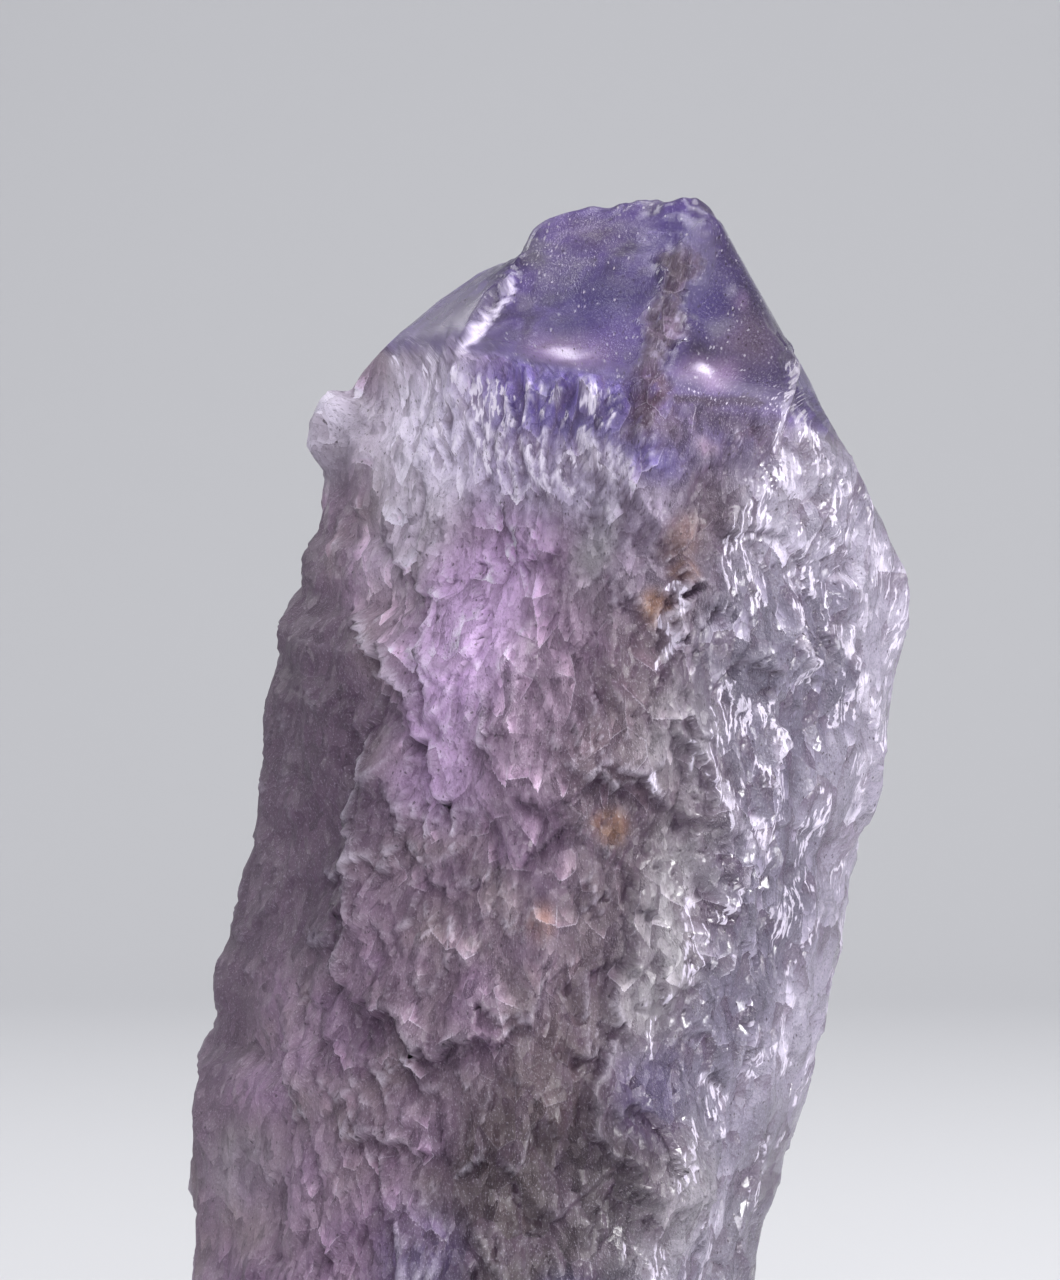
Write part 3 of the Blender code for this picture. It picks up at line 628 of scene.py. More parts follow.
def relief(points):
    """How far the etched surface stands out from the flat faces, in millimetres: the swells, the
    scales, shards, streaks and scoops of each zone, the fringe, and the ledges of the front."""
    across, depth, up = points.T
    way = np.stack([across, depth - AXIS_Y], axis=1)
    way /= np.maximum(np.linalg.norm(way, axis=1), TINY)[:, None]
    wave = noise(points, *WAVE)
    patches = noise(points, *PATCHES)
    around = np.arctan2(way[:, 1], way[:, 0]) + (0.7 * wave + HANG * up) / GIRTH_RADIUS
    bent_up = up + 0.6 * noise(points, *BEND)
    ragged = 0.2 * wave + 0.3 * noise(points, *RAGS)
    edge_place, edge_width, edge_depth = WORN_EDGE

    # Where each kind of surface lies
    front = ramp(-way[:, 1], *FACING_FRONT)
    below = flatness(points, POINT_FACES + SHOULDER_FACES) - flatness(points, PRISM_FACES)
    body = ramp(below, *BELOW_POINT)
    point = 1.0 - body
    settled = ramp(below, *WELL_BELOW_POINT)
    right = ramp(across, *RIGHT_SIDE)
    left = 1.0 - ramp(across, *PAST_LEFT_SIDE)
    calm = 1.0 - 0.6 * ramp(np.abs(way[:, 0]), *NEAR_OUTER_SIDE)
    scaly = calm * body * (1.0 - 0.75 * right) * (1.0 - 0.45 * left * front) * (0.85 + 0.5 * patches)
    scaly *= 1.0 - 0.45 * front * ramp(across, *PAST_MIDDLE)

    # The outer sides, knobs and swells
    wander = 30.0 * (1.0 - np.abs(way[:, 0])) * noise(points, *WANDER)
    out = side_reach(way[:, 0], up + wander) + knobs(points)
    for size, body_height, point_height, seed in SWELLS:
        out += (point_height + (body_height - point_height) * body * calm) * noise(points, size, seed)

    # Scales, shards and streaks
    scales = tongues(around, bent_up, LARGE_TONGUES) + tongues(around, bent_up, SMALL_TONGUES)
    out += scaly * scales
    ragged = ragged + SCALES_SHIFT * (scales - TONGUE_MEAN)
    out += scaly * tongues(around, bent_up, FINE_TONGUES)
    out += body * calm * (shards(around, bent_up, SHARDS) + shards(around, bent_up, SMALL_SHARDS))
    streaky = ramp(across + wave, *STREAKS_LEFT) * ramp(across + wave, *STREAKS_RIGHT) * front
    out += body * (0.3 + 0.7 * streaky) * scoops(around, bent_up, STREAKS)

    # The worn middle, and the scoops of both sides, the point and the back
    worn = front * body * ramp(up, *HOLLOW_TOP)
    out -= worn * edge_depth * np.exp(-((across - edge_place) / edge_width) ** 2)
    out += (0.4 + 0.6 * calm) * right * body * scoops(around, bent_up, RIGHT_SCOOPS)
    out += calm * left * body * scoops(around, bent_up, LEFT_SCOOPS)
    out += right_of_point(across, up) * point * scoops((depth + wave) / GIRTH_RADIUS, bent_up, POINT_SCOOPS)
    out += (1.0 - front) * point * scoops((across + wave) / GIRTH_RADIUS, bent_up, BACK_SCOOPS)

    # The rubble and chips of the point, the fringe and the ledges
    out += broken_ridge(across, up) * front * shards((across + wave) / GIRTH_RADIUS, up, RUBBLE)
    out += point * ramp(up, *TIP_EDGE) * 0.25 * noise(points, *CHIPS)
    out += FRINGE_SHARE * front * fringe(across, up)
    for _, height, fade, edge in LEDGES:
        out += front * step(across + 0.3 * ragged, up + ragged, edge, height, fade)
    return out - settled * (TONGUE_MEAN * scaly + LEDGE_MEAN * front)


def reach(centres, rays, faces):
    """The way from each centre along its ray to the nearest face, by a soft minimum."""
    outward, distance = normals(faces)
    gap = distance[None, :] - centres @ outward.T
    facing = rays @ outward.T
    ways = np.where(facing > TINY, gap / np.maximum(facing, TINY), FAR)
    nearest = ways.min(axis=1, keepdims=True)
    spread = np.exp(-np.minimum(ways - nearest, 20.0) / EDGE_SOFTNESS).sum(axis=1)
    return nearest[:, 0] - EDGE_SOFTNESS * np.log(spread)


def flat_form(centres, rays):
    """The flat-faced crystal: the shouldered point or the higher tip, whichever is farther."""
    lean = math.radians(LEAN)
    sides = PRISM_FACES + POINT_FACES + ((180, -LEAN, FOOT_LEFT - FOOT_OFFSET * math.cos(lean)),)
    return np.maximum(reach(centres, rays, sides + SHOULDER_FACES), reach(centres, rays, sides + TIP_FACES))


def grid_rays():
    """Centres on the axis and rays from them, one row of rays for each row of the grid.

    The lowest row of rays lies in the plane of the cut foot; they turn level over the foot,
    stay level up the body and fan out to straight up over the point.
    """
    lean = math.tan(math.radians(LEAN))
    bearing = np.concatenate([np.linspace(-math.pi, 0.0, FRONT_COLUMNS, endpoint=False),
                              np.linspace(0.0, math.pi, BACK_COLUMNS, endpoint=False)])
    foot_level = -FOOT_OFFSET * lean
    height = np.concatenate([np.linspace(foot_level, FOOT_CENTRE, FOOT_ROWS, endpoint=False),
                             np.linspace(FOOT_CENTRE, TOP_CENTRE, BODY_ROWS, endpoint=False),
                             np.full(POINT_ROWS, TOP_CENTRE)])
    foot_share = np.clip((FOOT_CENTRE - height) / (FOOT_CENTRE - foot_level), 0.0, 1.0)
    fan = np.concatenate([np.zeros(FOOT_ROWS + BODY_ROWS),
                          np.linspace(0.0, math.pi / 2.0, POINT_ROWS, endpoint=False)])
    tilt = fan[:, None] + foot_share[:, None] * np.arctan(lean * np.cos(bearing))[None, :]
    turn = np.broadcast_to(bearing, tilt.shape)
    rays = np.stack([np.cos(tilt) * np.cos(turn), np.cos(tilt) * np.sin(turn), np.sin(tilt)], axis=-1)
    centres = np.zeros_like(rays)
    centres[..., 1] = AXIS_Y
    centres[..., 2] = height[:, None]
    return centres, rays


def leaned(points):
    """From the crystal's own frame in millimetres to the leaning crystal in metres."""
    lean = math.radians(LEAN)
    x, y, z = points.T
    sideways = x - FOOT_OFFSET
    return np.stack([sideways * math.cos(lean) + z * math.sin(lean), y,
                     z * math.cos(lean) - sideways * math.sin(lean)], axis=1) * MM


def cloudy(points, size, seed):
    """Noise of three sizes laid over one another, about from -1 to 1."""
    broad = noise(points, size, seed)
    middling = 0.5 * noise(points, size / 2.1, seed + 1)
    return broad + middling + 0.25 * noise(points, size / 4.3, seed + 2)


def spot(points, centre, radii, soft):
    """1 inside an ellipsoid about a centre, fading to 0 outside it."""
    off = (points - np.array(centre)) / np.array(radii)
    return ramp(np.linalg.norm(off, axis=1), 1.0 + soft, 1.0 - soft)


def along(points, path, width):
    """1 on a path of (across, up) points on the front, fading to 0 one width away from it."""
    across, depth, up = points.T
    near = np.full(len(points), FAR)
    for (start_x, start_up), (end_x, end_up) in zip(path[:-1], path[1:]):
        run_x = end_x - start_x
        run_up = end_up - start_up
        share = ((across - start_x) * run_x + (up - start_up) * run_up) / (run_x ** 2 + run_up ** 2)
        share = np.clip(share, 0.0, 1.0)
        near = np.minimum(near, np.hypot(across - start_x - share * run_x, up - start_up - share * run_up))
    return ramp(near, width, 0.3 * width) * ramp(-depth, -1.0, 2.0)


def blend(colour, tint, share):
    """Moves colours towards a tint by a share from 0 to 1."""
    return colour + (np.array(tint) - colour) * np.clip(share, 0.0, 1.0)[:, None]


def darkened(colour, share):
    """Takes a share from 0 to 1 of the light out of colours."""
    light = 1.0 - share
    return colour * np.stack([light, light, light, np.ones(len(light))], axis=1)


def grain(points):
    """Where each point lies in the pattern of small flakes, in millimetres: the way round the
    crystal from the left, the same on the back as on the front, sheared to the hang of the
    scales, and a share of the way up, so that flakes are longer than wide, both bent by noise.
    Over the point the way round turns into the way across."""
    across, depth, up = points.T
    bearing = np.abs(np.arctan2(depth - AXIS_Y, across))
    side = (math.pi - bearing) * GIRTH_RADIUS + HANG * up + 0.25 * noise(points, *GRAIN_BEND)
    height = GRAIN_HEIGHT * up + 0.15 * noise(points, *GRAIN_STRETCH)
    side = side + (across + GRAIN_SHIFT - side) * ramp(up, *GRAIN_TURNS)
    return np.stack([side, height, np.zeros(len(points))], axis=1)


class Surface:
    """The crystal's points, with the noise and the zones from 0 to 1 that its colours share."""

    def __init__(self, points, crest, lip):
        self.points = points
        self.across, depth, self.up = points.T
        self.crest = crest
        self.lip = lip
        self.front = ramp(-depth, *FRONT_DEPTH)
        self.drift = cloudy(points, *DRIFT)
        self.patch = cloudy(points, *PATCH)
        self.crumbs = cloudy(points, *CRUMBS)
        self.grit = cloudy(points, *GRIT)
        self.drift_up = self.up + 2.2 * self.drift
        self.drift_across = self.across + 1.6 * self.drift
        self.point = ramp(self.up + 0.3 * self.patch, *POINT_FOOT)
        self.polished = ramp(self.up + 0.3 * self.patch, *POLISHED_FOOT)
        self.etched = 1.0 - self.point * (1.0 - right_of_point(self.across, self.up))
        self.ridge = broken_ridge(self.across + 0.2 * self.patch + 0.25 * self.crumbs, self.up)
        self.ridge = self.ridge * self.front * ramp(self.grit + self.crumbs, -1.4, -0.2)
        self.bent = points + 0.25 * noise(points, *EDGE_BEND)[:, None]
        self.snow = along(self.bent, WHITE_RIDGE, 0.42) * ramp(self.grit, -0.6, 0.5) * self.front
        self.bright = np.zeros(len(points))
        for half_width, path in PAINTED_GLINT_EDGES:
            self.bright = np.maximum(self.bright, along(self.bent, path, half_width))
        foot, top, side = RIBS
        self.ribs = self.front * ramp(self.up, *foot) * ramp(self.up, *top) * ramp(self.across, *side)
        self.seam = spot(points, *UNDER_MIDDLE, 0.8)


def body_colour(here):
    """Mauve and warm patches, dusky past the middle, silver on the right with painted sheen at the
    far right, and painted shade on the left between the foot and a slanting line, with the clouds
    of the body laid over them."""
    colour = np.broadcast_to(np.array(MAUVE), (len(here.points), 4))
    colour = blend(colour, WARM, 0.5 + 0.6 * here.patch)
    colour = blend(colour, DUSK, 0.95 * ramp(here.drift_across, *DUSKY_MIDDLE) * here.front)
    colour = blend(colour, SILVER, ramp(here.drift_across, *SILVER_SIDE))
    # Painted sheen at the far right
    colour = blend(colour, PAINTED_SHEEN_SILVER, ramp(here.drift_across, *BRIGHT_SIDE))
    # Painted shade on the left, below a slanting line
    slanting = ramp(here.drift_up + 2.0 * here.drift_across, *SHADED_LEFT_TOP)
    painted_left_shade = ramp(here.drift_across, *SHADED_LEFT) * slanting * ramp(here.up, *SHADED_LEFT_FOOT)
    colour = blend(colour, PAINTED_SHADE_MAUVE, painted_left_shade)
    bent = here.points + 0.7 * here.drift[:, None]
    for centre, radii, tint, share in TINTS:
        colour = blend(colour, tint, share * spot(bent, centre, radii, 0.7))
    return colour


def point_colour(here, colour):
    """Deep violet with dusky veils, pale wisps and soft dust, darker on the right front face,
    with the point's own painted glows and its stains."""
    veil = cloudy(here.points + 3.0 * here.patch[:, None], *VEIL)
    colour = blend(colour, DEEP_VIOLET, here.point)
    colour = blend(colour, DUSKY_VIOLET, here.point * (0.35 + 0.65 * veil))
    colour = blend(colour, FROST_AND_GLINT, here.point * 0.25 * ramp(veil, -0.3, -0.9))
    dust = cloudy(here.points * np.array((1.0, 1.0, 2.2)), *DUST)
    colour = blend(colour, LILAC, here.point * 0.5 * ramp(dust, 0.35, 0.8))
    colour = blend(colour, DUSKY_VIOLET, here.point * 0.5 * ramp(dust, -0.35, -0.8))
    start, end = SHADED_FACE
    colour = darkened(colour, 0.42 * here.point * ramp(here.across, *start) * ramp(here.across, *end))
    bent = here.points + 0.4 * here.patch[:, None]
    for centre, radii, tint, share in POINT_TINTS:
        colour = blend(colour, tint, share * spot(bent, centre, radii, 0.8))
    return colour


def ridge_colour(here, colour):
    """The broken ridge, brown with dark and lilac grit, and the dark seam beside its foot."""
    colour = blend(colour, BROWN, 0.7 * here.ridge)
    colour = blend(colour, SPECK, here.ridge * (0.2 + 0.5 * ramp(here.grit, -0.1, -0.7)))
    colour = blend(colour, LILAC, 0.7 * here.ridge * ramp(here.grit, 0.5, 1.0))
    under = along(here.points + 0.2 * here.crumbs[:, None], UNDER_POINT, 0.35) * here.front
    return blend(colour, SPECK, 0.7 * under)


def crest_frost_and_highlight(here, colour):
    """Frost and a painted highlight on the crests of the etched body, in patches and less to the right."""
    white = here.etched * ramp(here.crest, 0.03, 0.2) * (0.15 + 0.35 * here.patch)
    white = white * (1.0 - 0.6 * ramp(here.across, *PALER_RIGHT))
    return blend(colour, FROST_AND_GLINT, white * ramp(here.up, *WHITE_CRESTS_TOP))


def fringe_colour(here, colour):
    """The fringe: blue violet behind it, frost on the lower ends of its blades, where there is
    a blade but none just below, and frost on its ribs."""
    foot, top, side = CURTAIN
    curtain = here.front * ramp(here.up, *foot) * ramp(here.up, *top) * ramp(here.across, *side)
    curtain = curtain * ramp(here.across + here.patch, *CURTAIN_LEFT)
    colour = blend(colour, BLUE_VIOLET, 0.75 * curtain)
    blade = fringe(here.across, here.up)
    below = fringe(here.across, here.up - 0.4)
    lobes = here.front * ramp(blade, 0.0, 0.1) * ramp(below, 0.1, 0.0)
    colour = blend(colour, FROST_AND_GLINT, 0.75 * lobes * ramp(here.up, *LOBES_TOP))
    return blend(colour, FROST_AND_GLINT, 0.5 * here.ribs * ramp(here.crest + 0.06 * here.crumbs, 0.075, 0.12))


def hollow_shade(here, colour):
    """Painted shade in the hollows, both the small ones and the wide ones."""
    colour = blend(colour, PAINTED_SHADE_MAUVE, 0.35 * ramp(here.crest, -0.02, -0.16))
    return blend(colour, PAINTED_SHADE_MAUVE, 0.55 * ramp(here.lip, -0.1, -0.7))


def edge_colour(here, colour):
    """Painted glints on the brightest edges, and frost on the white speckled ridge."""
    colour = blend(colour, FROST_AND_GLINT, 0.45 * here.bright * ramp(here.crumbs, -0.7, 0.1))
    return blend(colour, FROST_AND_GLINT, 0.85 * here.snow)


def foot_colour(here, colour):
    """The foot, dimmer from the middle to the right, apart from a paler band."""
    start, end, again = DIM_SIDES
    sides = ramp(here.across, *end) + ramp(here.across, *again)
    return darkened(colour, 0.5 * ramp(here.up, *DIM_FOOT) * ramp(here.across, *start) * sides)


def milkiness(here, colour):
    """How milky the quartz is: the body more than the point, and pale colours more than dark."""
    whitened = ramp(colour[:, 1], 0.3, 0.7)
    milk = 0.86 + 0.12 * here.drift - 0.46 * here.point + (0.15 + 0.3 * here.point) * whitened
    milk = milk + 0.4 * np.maximum(0.7 * here.ridge, here.snow) + 0.6 * here.seam
    return np.clip(milk, 0.0, 1.0)


def roughness(here):
    """How rough the surface is: the body frosted, its right side and the point smoother, the
    broken and speckled ridges, the seam and the worn place at the tip rougher."""
    right = ramp(here.across, *SMOOTHER_RIGHT)
    rough = 0.5 + 0.1 * here.patch - 0.32 * right - 0.36 * here.polished * (1.0 - right)
    rough = rough + 0.3 * (spot(here.points, *WORN_TIP, 0.8) + here.seam)
    rough = rough + 0.14 * here.polished * ramp(here.across, *ROUGHER_LEFT)
    return np.clip(rough + 0.4 * np.maximum(here.ridge, here.snow), 0.06, 1.0)


def shininess(here):
    """Where the surface gets painted glints: in clusters on the crests of the right side and on the
    ribs of the fringe, and along the brightest edges."""
    clusters = cloudy(here.points * np.array((1.0, 1.0, 0.6)), *CLUSTERS)
    shine = here.etched * ramp(here.across, *GLINTING_SIDE) * ramp(clusters + 2.0 * here.crest, 0.25, 0.85)
    shine = shine * (0.45 + 0.55 * ramp(here.up, *GLINTING_FOOT))
    ribs = 0.7 * here.ribs * ramp(clusters + 4.0 * here.crest, -0.2, 0.5)
    return np.clip(shine + ribs + here.bright, 0.0, 1.0)


def flake_lift(here):
    """How much painted light the flakes that face up get, as how much lighter than the tint they
    are: less low on the left, in the painted shade, and low down past the middle."""
    side, top = DULL_LEFT
    lift = 1.0 - 0.75 * ramp(here.drift_across, *side) * ramp(here.drift_up + 2.0 * here.drift_across, *top)
    side, top = DULL_MIDDLE
    return lift * (1.0 - 0.65 * ramp(here.drift_across, *side) * ramp(here.drift_up, *top))


def zones(points, crest, lip):
    """The crystal's colour at each point, layer over layer, and how milky, rough and etched it is,
    where it has painted glints, and how much painted light its flakes get."""
    here = Surface(points, crest, lip)
    colour = body_colour(here)
    for layer in (point_colour, ridge_colour, crest_frost_and_highlight, fringe_colour, hollow_shade,
                  edge_colour, foot_colour):
        colour = layer(here, colour)
    etched = np.maximum(here.etched, 0.8 * here.ridge)
    return colour, milkiness(here, colour), roughness(here), etched, shininess(here), flake_lift(here)


def blurred(field, times):
    """A grid's values smoothed by averaging each with its neighbours, closed round the columns."""
    for _ in range(times):
        field = (np.roll(field, 1, axis=1) + np.roll(field, -1, axis=1) + 2.0 * field) / 4.0
        padded = np.concatenate([field[:1], field, field[-1:]])
        field = (padded[:-2] + padded[2:] + 2.0 * field) / 4.0
    return field


def grid_faces(rows, columns):
    """Four-sided faces of a grid closed round its columns, with a fan at its foot and its top."""
    row, column = np.meshgrid(np.arange(rows - 1), np.arange(columns), indexing="ij")
    beside = (column + 1) % columns
    low = row * columns
    quads = np.stack([low + column, low + beside, low + columns + beside, low + columns + column], axis=-1)
    ring = np.arange(columns)
    foot = rows * columns
    last = (rows - 1) * columns
    fan_foot = np.stack([np.full(columns, foot), (ring + 1) % columns, ring], axis=-1)
    fan_top = np.stack([np.full(columns, foot + 1), last + ring, last + (ring + 1) % columns], axis=-1)
    return quads.reshape(-1, 4).tolist() + fan_foot.tolist() + fan_top.tolist()


def store_zones(mesh, flat, field, plain_count):
    """Stores the colours, the zones' values and the grain's place on the surface. A crest is
    the relief less its average near by, a lip the relief less its average farther round. The
    cut foot's points, which come first, and the two that close the surface have plain values."""
    crest = (field - blurred(field, CREST_BLUR)).ravel()
    lip = (field - blurred(field, LIP_BLUR)).ravel()
    colour, *values = zones(flat, crest, lip)
    foot_tint = np.broadcast_to(np.array(MAUVE), (plain_count, 4))
    tints = np.concatenate([foot_tint, colour, np.array([MAUVE, DEEP_VIOLET])])
    mesh.attributes.new("tint", "FLOAT_COLOR", "POINT").data.foreach_set("color", tints.ravel())
    for name, value, foot, last in zip(STORED, values, FOOT_VALUES, LAST_VALUES):
        stored = np.concatenate([np.full(plain_count, foot), value, (foot, last)])
        mesh.attributes.new(name, "FLOAT", "POINT").data.foreach_set("value", stored)
    places = np.concatenate([np.zeros((plain_count, 3)), grain(flat), np.zeros((2, 3))])
    mesh.attributes.new("grain", "FLOAT_VECTOR", "POINT").data.foreach_set("vector", places.ravel())


def crystal():
    """The crystal's surface: each point is its centre on the axis plus its ray times the way to
    the flat faces and the relief there. Rings that shrink to the middle close the cut foot."""
    centres, rays = grid_rays()
    rows, columns = rays.shape[:2]
    centres = centres.reshape(-1, 3)
    rays = rays.reshape(-1, 3)
    flat = centres + rays * flat_form(centres, rays)[:, None]
    height = relief(flat)
    etched = flat + rays * height[:, None]
    wall = etched.reshape(rows, columns, 3)
    middle = np.array((0.0, AXIS_Y, -FOOT_OFFSET * math.tan(math.radians(LEAN))))
    shrink = np.linspace(0.0, 1.0, CUT_ROWS + 1)[1:-1]
    rings = middle + (wall[0] - middle)[None] * shrink[:, None, None]
    top_ray = np.array([[0.0, 0.0, 1.0]])
    top_centre = np.array([[0.0, AXIS_Y, TOP_CENTRE]])
    top = top_centre + top_ray * flat_form(top_centre, top_ray)[:, None]
    points = np.concatenate([rings.reshape(-1, 3), etched, middle[None], top])
    mesh = bpy.data.meshes.new("etched_crystal")
    mesh.from_pydata(leaned(points).tolist(), [], grid_faces(rows + len(rings), columns))
    mesh.shade_smooth()
    store_zones(mesh, flat, height.reshape(rows, columns), len(rings) * columns)
    piece = bpy.data.objects.new("etched_crystal", mesh)
    bpy.context.scene.collection.objects.link(piece)
    return piece


class Wire:
    """One output socket of a material's node tree; arithmetic on wires adds Math nodes."""

    def __init__(self, paint, socket):
        self.paint = paint
        self.socket = socket

    def math(self, operation, first, second):
        """Adds a Math node for one operation on two values or wires."""
        return self.paint.node("ShaderNodeMath", {"operation": operation}, {0: first, 1: second})

    def __add__(self, other):
        return self.math("ADD", self, other)

    def __radd__(self, other):
        return self.math("ADD", other, self)

    def __sub__(self, other):
        return self.math("SUBTRACT", self, other)

    def __rsub__(self, other):
        return self.math("SUBTRACT", other, self)

    def __mul__(self, other):
        return self.math("MULTIPLY", self, other)

    def __rmul__(self, other):
        return self.math("MULTIPLY", other, self)

    def folded(self, length):
        """The value folded back and forth between nought and a length."""
        return self.math("PINGPONG", self, length)

    def output(self, index):
        """Another output of the same node."""
        return Wire(self.paint, self.socket.node.outputs[index])


class Paint:
    """A material and the few kinds of node that its pattern is made from."""

    def __init__(self, name):
        self.material = bpy.data.materials.new(name)
        self.material.use_nodes = True
        self.tree = self.material.node_tree
        self.tree.nodes.clear()

    def node(self, kind, settings=None, values=None, output=0):
        """Adds a node, sets it up, fills its sockets with values or wires, and gives an output."""
        made = self.tree.nodes.new(kind)
        for key, value in (settings or {}).items():
            setattr(made, key, value)
        for key, value in (values or {}).items():
            if isinstance(value, Wire):
                self.tree.links.new(value.socket, made.inputs[key])
            else:
                made.inputs[key].default_value = value
        return Wire(self, made.outputs[output])

    def finish(self, surface, volume=None):
        """Joins the finished surface, and what fills the piece, to the material's output."""
        end = self.tree.nodes.new("ShaderNodeOutputMaterial")
        self.tree.links.new(surface.socket, end.inputs["Surface"])
        if volume:
            self.tree.links.new(volume.socket, end.inputs["Volume"])
        return self.material

    def stored(self, name, output=2):
        """A value stored on the surface: output 2 is a number, 1 a vector and 0 a colour."""
        return self.node("ShaderNodeAttribute", {"attribute_name": name}, output=output)

    def mix(self, factor, first, second):
        """Blends two colours."""
        return self.node("ShaderNodeMix", {"data_type": "RGBA"}, {0: factor, 6: first, 7: second}, output=2)

    def step(self, value, start, end):
        """Smooth step of a value from 0 at start to 1 at end."""
        return self.node("ShaderNodeMapRange", {"interpolation_type": "SMOOTHSTEP"},
                         {"Value": value, "From Min": start, "From Max": end})

    def noise(self, place, scale, detail, roughness):
        """Soft noise from 0 to 1 in the plane of a place."""
        return self.node("ShaderNodeTexNoise", {"noise_dimensions": "2D"},
                         {"Vector": place, "Scale": scale, "Detail": detail, "Roughness": roughness})

    def vector(self, operation, first, second, output=0):
        """Vector arithmetic; output 1 is the number that a dot product gives."""
        return self.node("ShaderNodeVectorMath", {"operation": operation}, {0: first, 1: second}, output)

    def cells(self, place, scale):
        """Flat Voronoi cells: the distance to the nearest centre, its colour and its place."""
        return self.node("ShaderNodeTexVoronoi", {"voronoi_dimensions": "2D"},
                         {"Vector": place, "Scale": scale})

    def flakes(self, place, scale, tilt, hang):
        """Flakes that overlap downwards: in each Voronoi cell the height is the offset from its
        centre times a tilt drawn from the cell's colour, plus a share of the offset downwards."""
        cell = self.cells(place, scale)
        offset = self.vector("SUBTRACT", place, cell.output(2))
        lean = self.vector("SUBTRACT", cell.output(1), (0.5, 0.5 + hang, 0.5))
        return self.vector("DOT_PRODUCT", offset, lean, output=1) * tilt


def lit_and_shaded_chips(paint, tint, bent, broad, small, patchy, body):
    """The tint with painted light and shade: lighter on flakes that face up and darker on those
    that face down, with thin painted highlights on the rims of the broad flakes."""
    facets = broad + small * 0.7
    lit_tint = paint.vector("MINIMUM", paint.vector("MULTIPLY", tint, PAINTED_FLAKE_LIGHT), FROST_AND_GLINT[:3])
    colour = paint.mix(paint.step(facets, 0.0, 0.32) * patchy, tint, lit_tint)
    colour = paint.mix(paint.step(facets, -0.02, -0.3) * body * 0.45, colour, PAINTED_SHADE_MAUVE)
    rim = paint.node("ShaderNodeTexVoronoi", {"voronoi_dimensions": "2D", "feature": "DISTANCE_TO_EDGE"},
                     {"Vector": bent, "Scale": BROAD_FLAKES[0]})
    rim_highlight = paint.step(rim, 0.03, 0.01) * paint.step(broad, 0.0, 0.2) * patchy
    return paint.mix(rim_highlight * 0.4, colour, FROST_AND_GLINT)


def sugared(paint, colour, sugar, body):
    """Sugary grain: dark between the grains and white on them, less white on the etched body."""
    colour = paint.mix(paint.step(sugar, 0.46, 0.26) * 0.45, colour, SPECK)
    return paint.mix(paint.step(sugar, 0.56, 0.78) * (0.5 - body * 0.2), colour, FROST_AND_GLINT)


def dotted(paint, colour, bent, drift, body):
    """Dark specks and finer white dust: round dots at the centres of Voronoi cells, in the
    cells whose drawn value is high enough for a speck and low enough for dust."""
    specks = paint.cells(bent, SPECK_CELLS)
    dark = paint.step(specks, 0.12, 0.07) * paint.step(specks.output(1), 0.62, 0.7)
    colour = paint.mix(dark * 0.75, colour, SPECK)
    dust = paint.cells(bent, DUST_CELLS)
    white = paint.step(dust, 0.3, 0.18) * paint.step(dust.output(1) + drift * 0.8, 0.62, 0.5)
    return paint.mix(white * (0.7 - body * 0.6), colour, FROST_AND_GLINT)


def glinting(paint, colour, bent, shine):
    """Painted glints: thin white lines where an upright noise, folded back and forth, comes near
    nought, in the clusters where the crystal shines."""
    swirl = paint.noise(paint.vector("MULTIPLY", bent, (1.0, 0.45, 0.0)), *SWIRL)
    line = paint.step((swirl * 9.0).folded(1.0), 0.4, 0.15)
    return paint.mix(line * paint.step(shine, 0.2, 0.5), colour, FROST_AND_GLINT)


def ametrine():
    """Violet quartz: clear and milky quartz blended by zones, with a frosted, chipped surface."""
    paint = Paint("ametrine")
    tint = paint.stored("tint", 0)
    place = paint.stored("grain", 1)
    milk, rough, body, shine, lift = [paint.stored(name) for name in STORED]

    # The chipped surface: two sizes of flakes under a sugary grain
    sugar = paint.noise(place, *SUGAR)
    bent = paint.vector("ADD", place, paint.vector("MULTIPLY", sugar, (0.12, 0.12, 0.0)))
    broad = paint.flakes(bent, *BROAD_FLAKES)
    small = paint.flakes(bent, *SMALL_FLAKES)
    height = body * (broad + small * (1.0 - shine * 0.5)) + (0.1 + 0.9 * body) * sugar * 0.1
    normal = paint.node("ShaderNodeBump", values={"Strength": 1.0, "Distance": MM, "Height": height})

    # Its colour
    drift = paint.noise(place, *FLAKE_DRIFT)
    # Where the flakes get painted light, and painted highlights on their rims
    patchy = paint.step(drift, 0.35, 0.6) * body * lift
    colour = lit_and_shaded_chips(paint, tint, bent, broad, small, patchy, body)
    colour = sugared(paint, colour, sugar, body)
    colour = dotted(paint, colour, bent, drift, body)
    colour = glinting(paint, colour, bent, shine)

    # Clear and milky quartz
    clear = paint.node("ShaderNodeBsdfPrincipled", values={
        "Base Color": paint.mix(0.5, colour, CLEAR), "Roughness": rough, "IOR": QUARTZ_IOR,
        "Transmission Weight": 1.0, "Normal": normal})
    milky = paint.node("ShaderNodeBsdfPrincipled", values={
        "Base Color": colour, "Roughness": rough, "IOR": QUARTZ_IOR, "Normal": normal})
    surface = paint.node("ShaderNodeMixShader", values={0: milk, 1: clear, 2: milky})
    depth = paint.node("ShaderNodeVolumeAbsorption", values={
        "Color": QUARTZ_DEPTH, "Density": QUARTZ_DENSITY})
    return paint.finish(surface, depth)


def pale_paper():
    """A plain matt sheet with a faint, soft unevenness."""
    paint = Paint("pale_paper")
    place = paint.node("ShaderNodeTexCoord", output=3)
    tone = paint.mix(paint.noise(place, *PAPER_FLECKS) * 0.06, PAPER, PAPER_SHADE)
    paper = paint.node("ShaderNodeBsdfPrincipled", values={"Base Color": tone, "Roughness": 0.8})
    return paint.finish(paper)


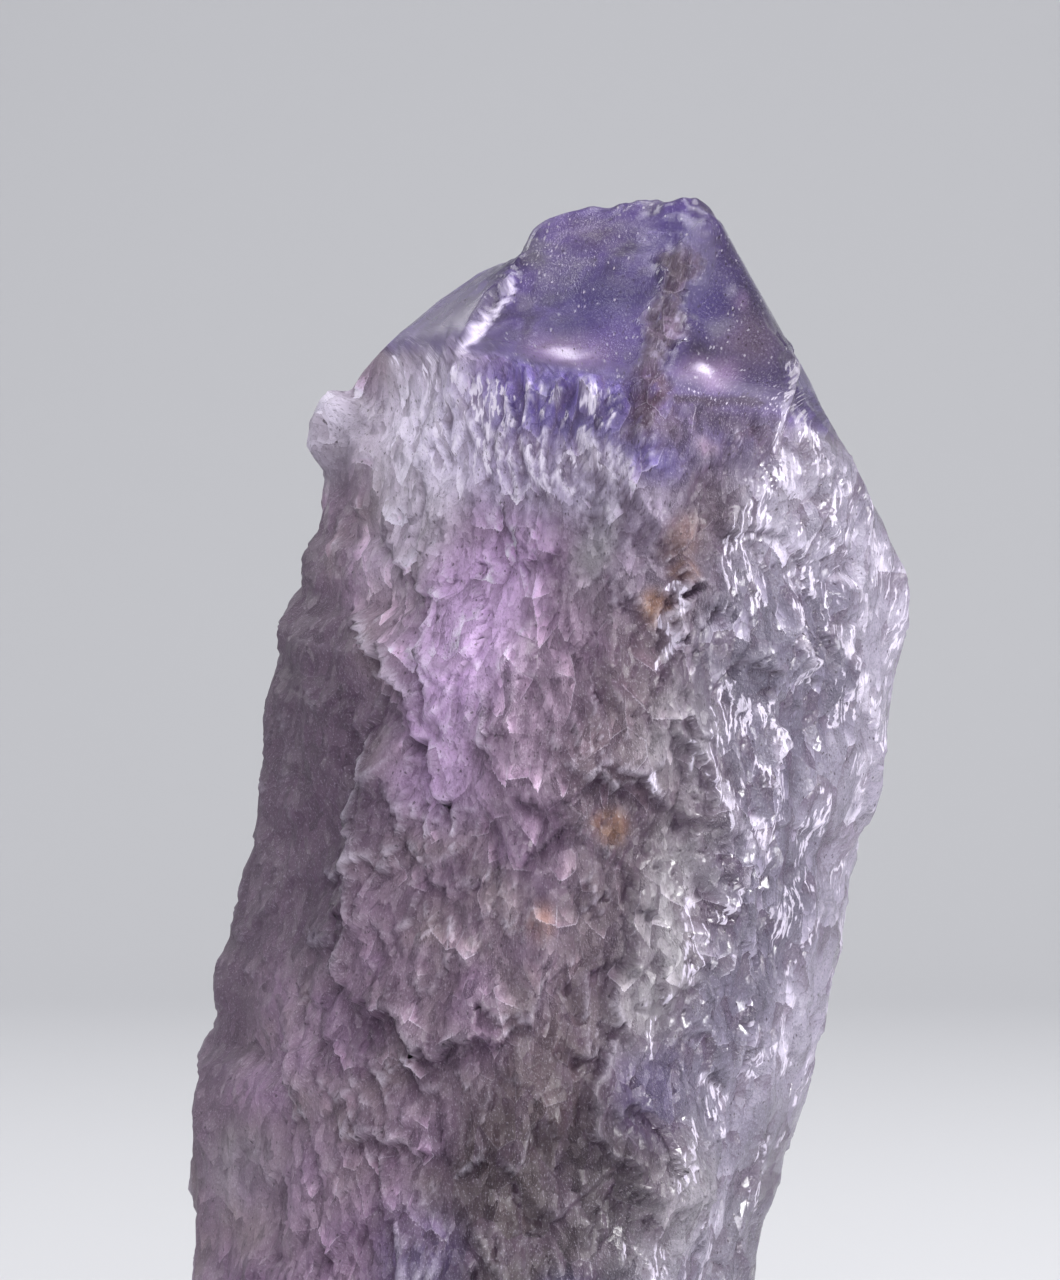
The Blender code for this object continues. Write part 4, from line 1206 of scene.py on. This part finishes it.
def sweep():
    """The pale floor and backdrop: a level sheet that curves up behind the crystal, as a
    profile of a line, a quarter circle and a line, carried along the width."""
    half_width = 1.2
    near = -1.0
    bend = 0.35
    radius = 0.25
    top = 1.2
    bend_steps = 24
    steps_across = 9
    turn = np.linspace(0.0, math.pi / 2.0, bend_steps)
    depth = np.concatenate([[near], bend + radius * np.sin(turn), [bend + radius]])
    height = np.concatenate([[0.0], radius * (1.0 - np.cos(turn)), [top]])
    side = np.linspace(-half_width, half_width, steps_across)
    x, y = np.meshgrid(side, depth, indexing="ij")
    z = np.broadcast_to(height, x.shape)
    points = np.stack([x, y, z], axis=-1).reshape(-1, 3)
    rows, columns = x.shape
    row, column = np.meshgrid(np.arange(rows - 1), np.arange(columns - 1), indexing="ij")
    first = row * columns + column
    quads = np.stack([first, first + columns, first + columns + 1, first + 1], axis=-1).reshape(-1, 4)
    mesh = bpy.data.meshes.new("floor")
    mesh.from_pydata(points.tolist(), [], quads.tolist())
    mesh.shade_smooth()
    item = bpy.data.objects.new("floor", mesh)
    bpy.context.scene.collection.objects.link(item)
    mesh.materials.append(pale_paper())
    return item


def aimed(item, place, target):
    """Puts a light or camera at a place and turns it to face a target."""
    item.location = place
    item.rotation_euler = (Vector(target) - Vector(place)).to_track_quat("-Z", "Y").to_euler()


def soft_light(name, place, size, power):
    """A rectangle of light that faces the middle of the crystal."""
    lamp = bpy.data.lights.new(name, "AREA")
    lamp.shape = "RECTANGLE"
    lamp.size, lamp.size_y = size
    lamp.energy = power
    item = bpy.data.objects.new(name, lamp)
    bpy.context.scene.collection.objects.link(item)
    aimed(item, place, LIGHT_TARGET)


def camera():
    """Level with the middle of the view, which spans 53 by 64 mm at the crystal."""
    lens = 150.0
    sensor = 36.0
    view_height = 64.0 * MM
    middle = (-0.9 * MM, 0.0, 42.0 * MM)
    lens_data = bpy.data.cameras.new("camera")
    lens_data.lens = lens
    lens_data.sensor_width = sensor
    lens_data.clip_start = 0.01
    item = bpy.data.objects.new("camera", lens_data)
    bpy.context.scene.collection.objects.link(item)
    aimed(item, (middle[0], -view_height * lens / sensor, middle[2]), middle)
    bpy.context.scene.camera = item


def world():
    """An even, faintly blue sky that fills the shadows."""
    sky = bpy.data.worlds.new("studio")
    sky.use_nodes = True
    background = sky.node_tree.nodes["Background"]
    background.inputs["Color"].default_value = SKY
    background.inputs["Strength"].default_value = SKY_STRENGTH
    bpy.context.scene.world = sky


point = crystal()
point.data.materials.append(ametrine())
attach(point, "root")
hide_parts("crystal")

sweep()
world()
for name, place, size, power in LIGHTS:
    soft_light(name, place, size, power)
camera()
bpy.context.scene.view_settings.view_transform = "Standard"
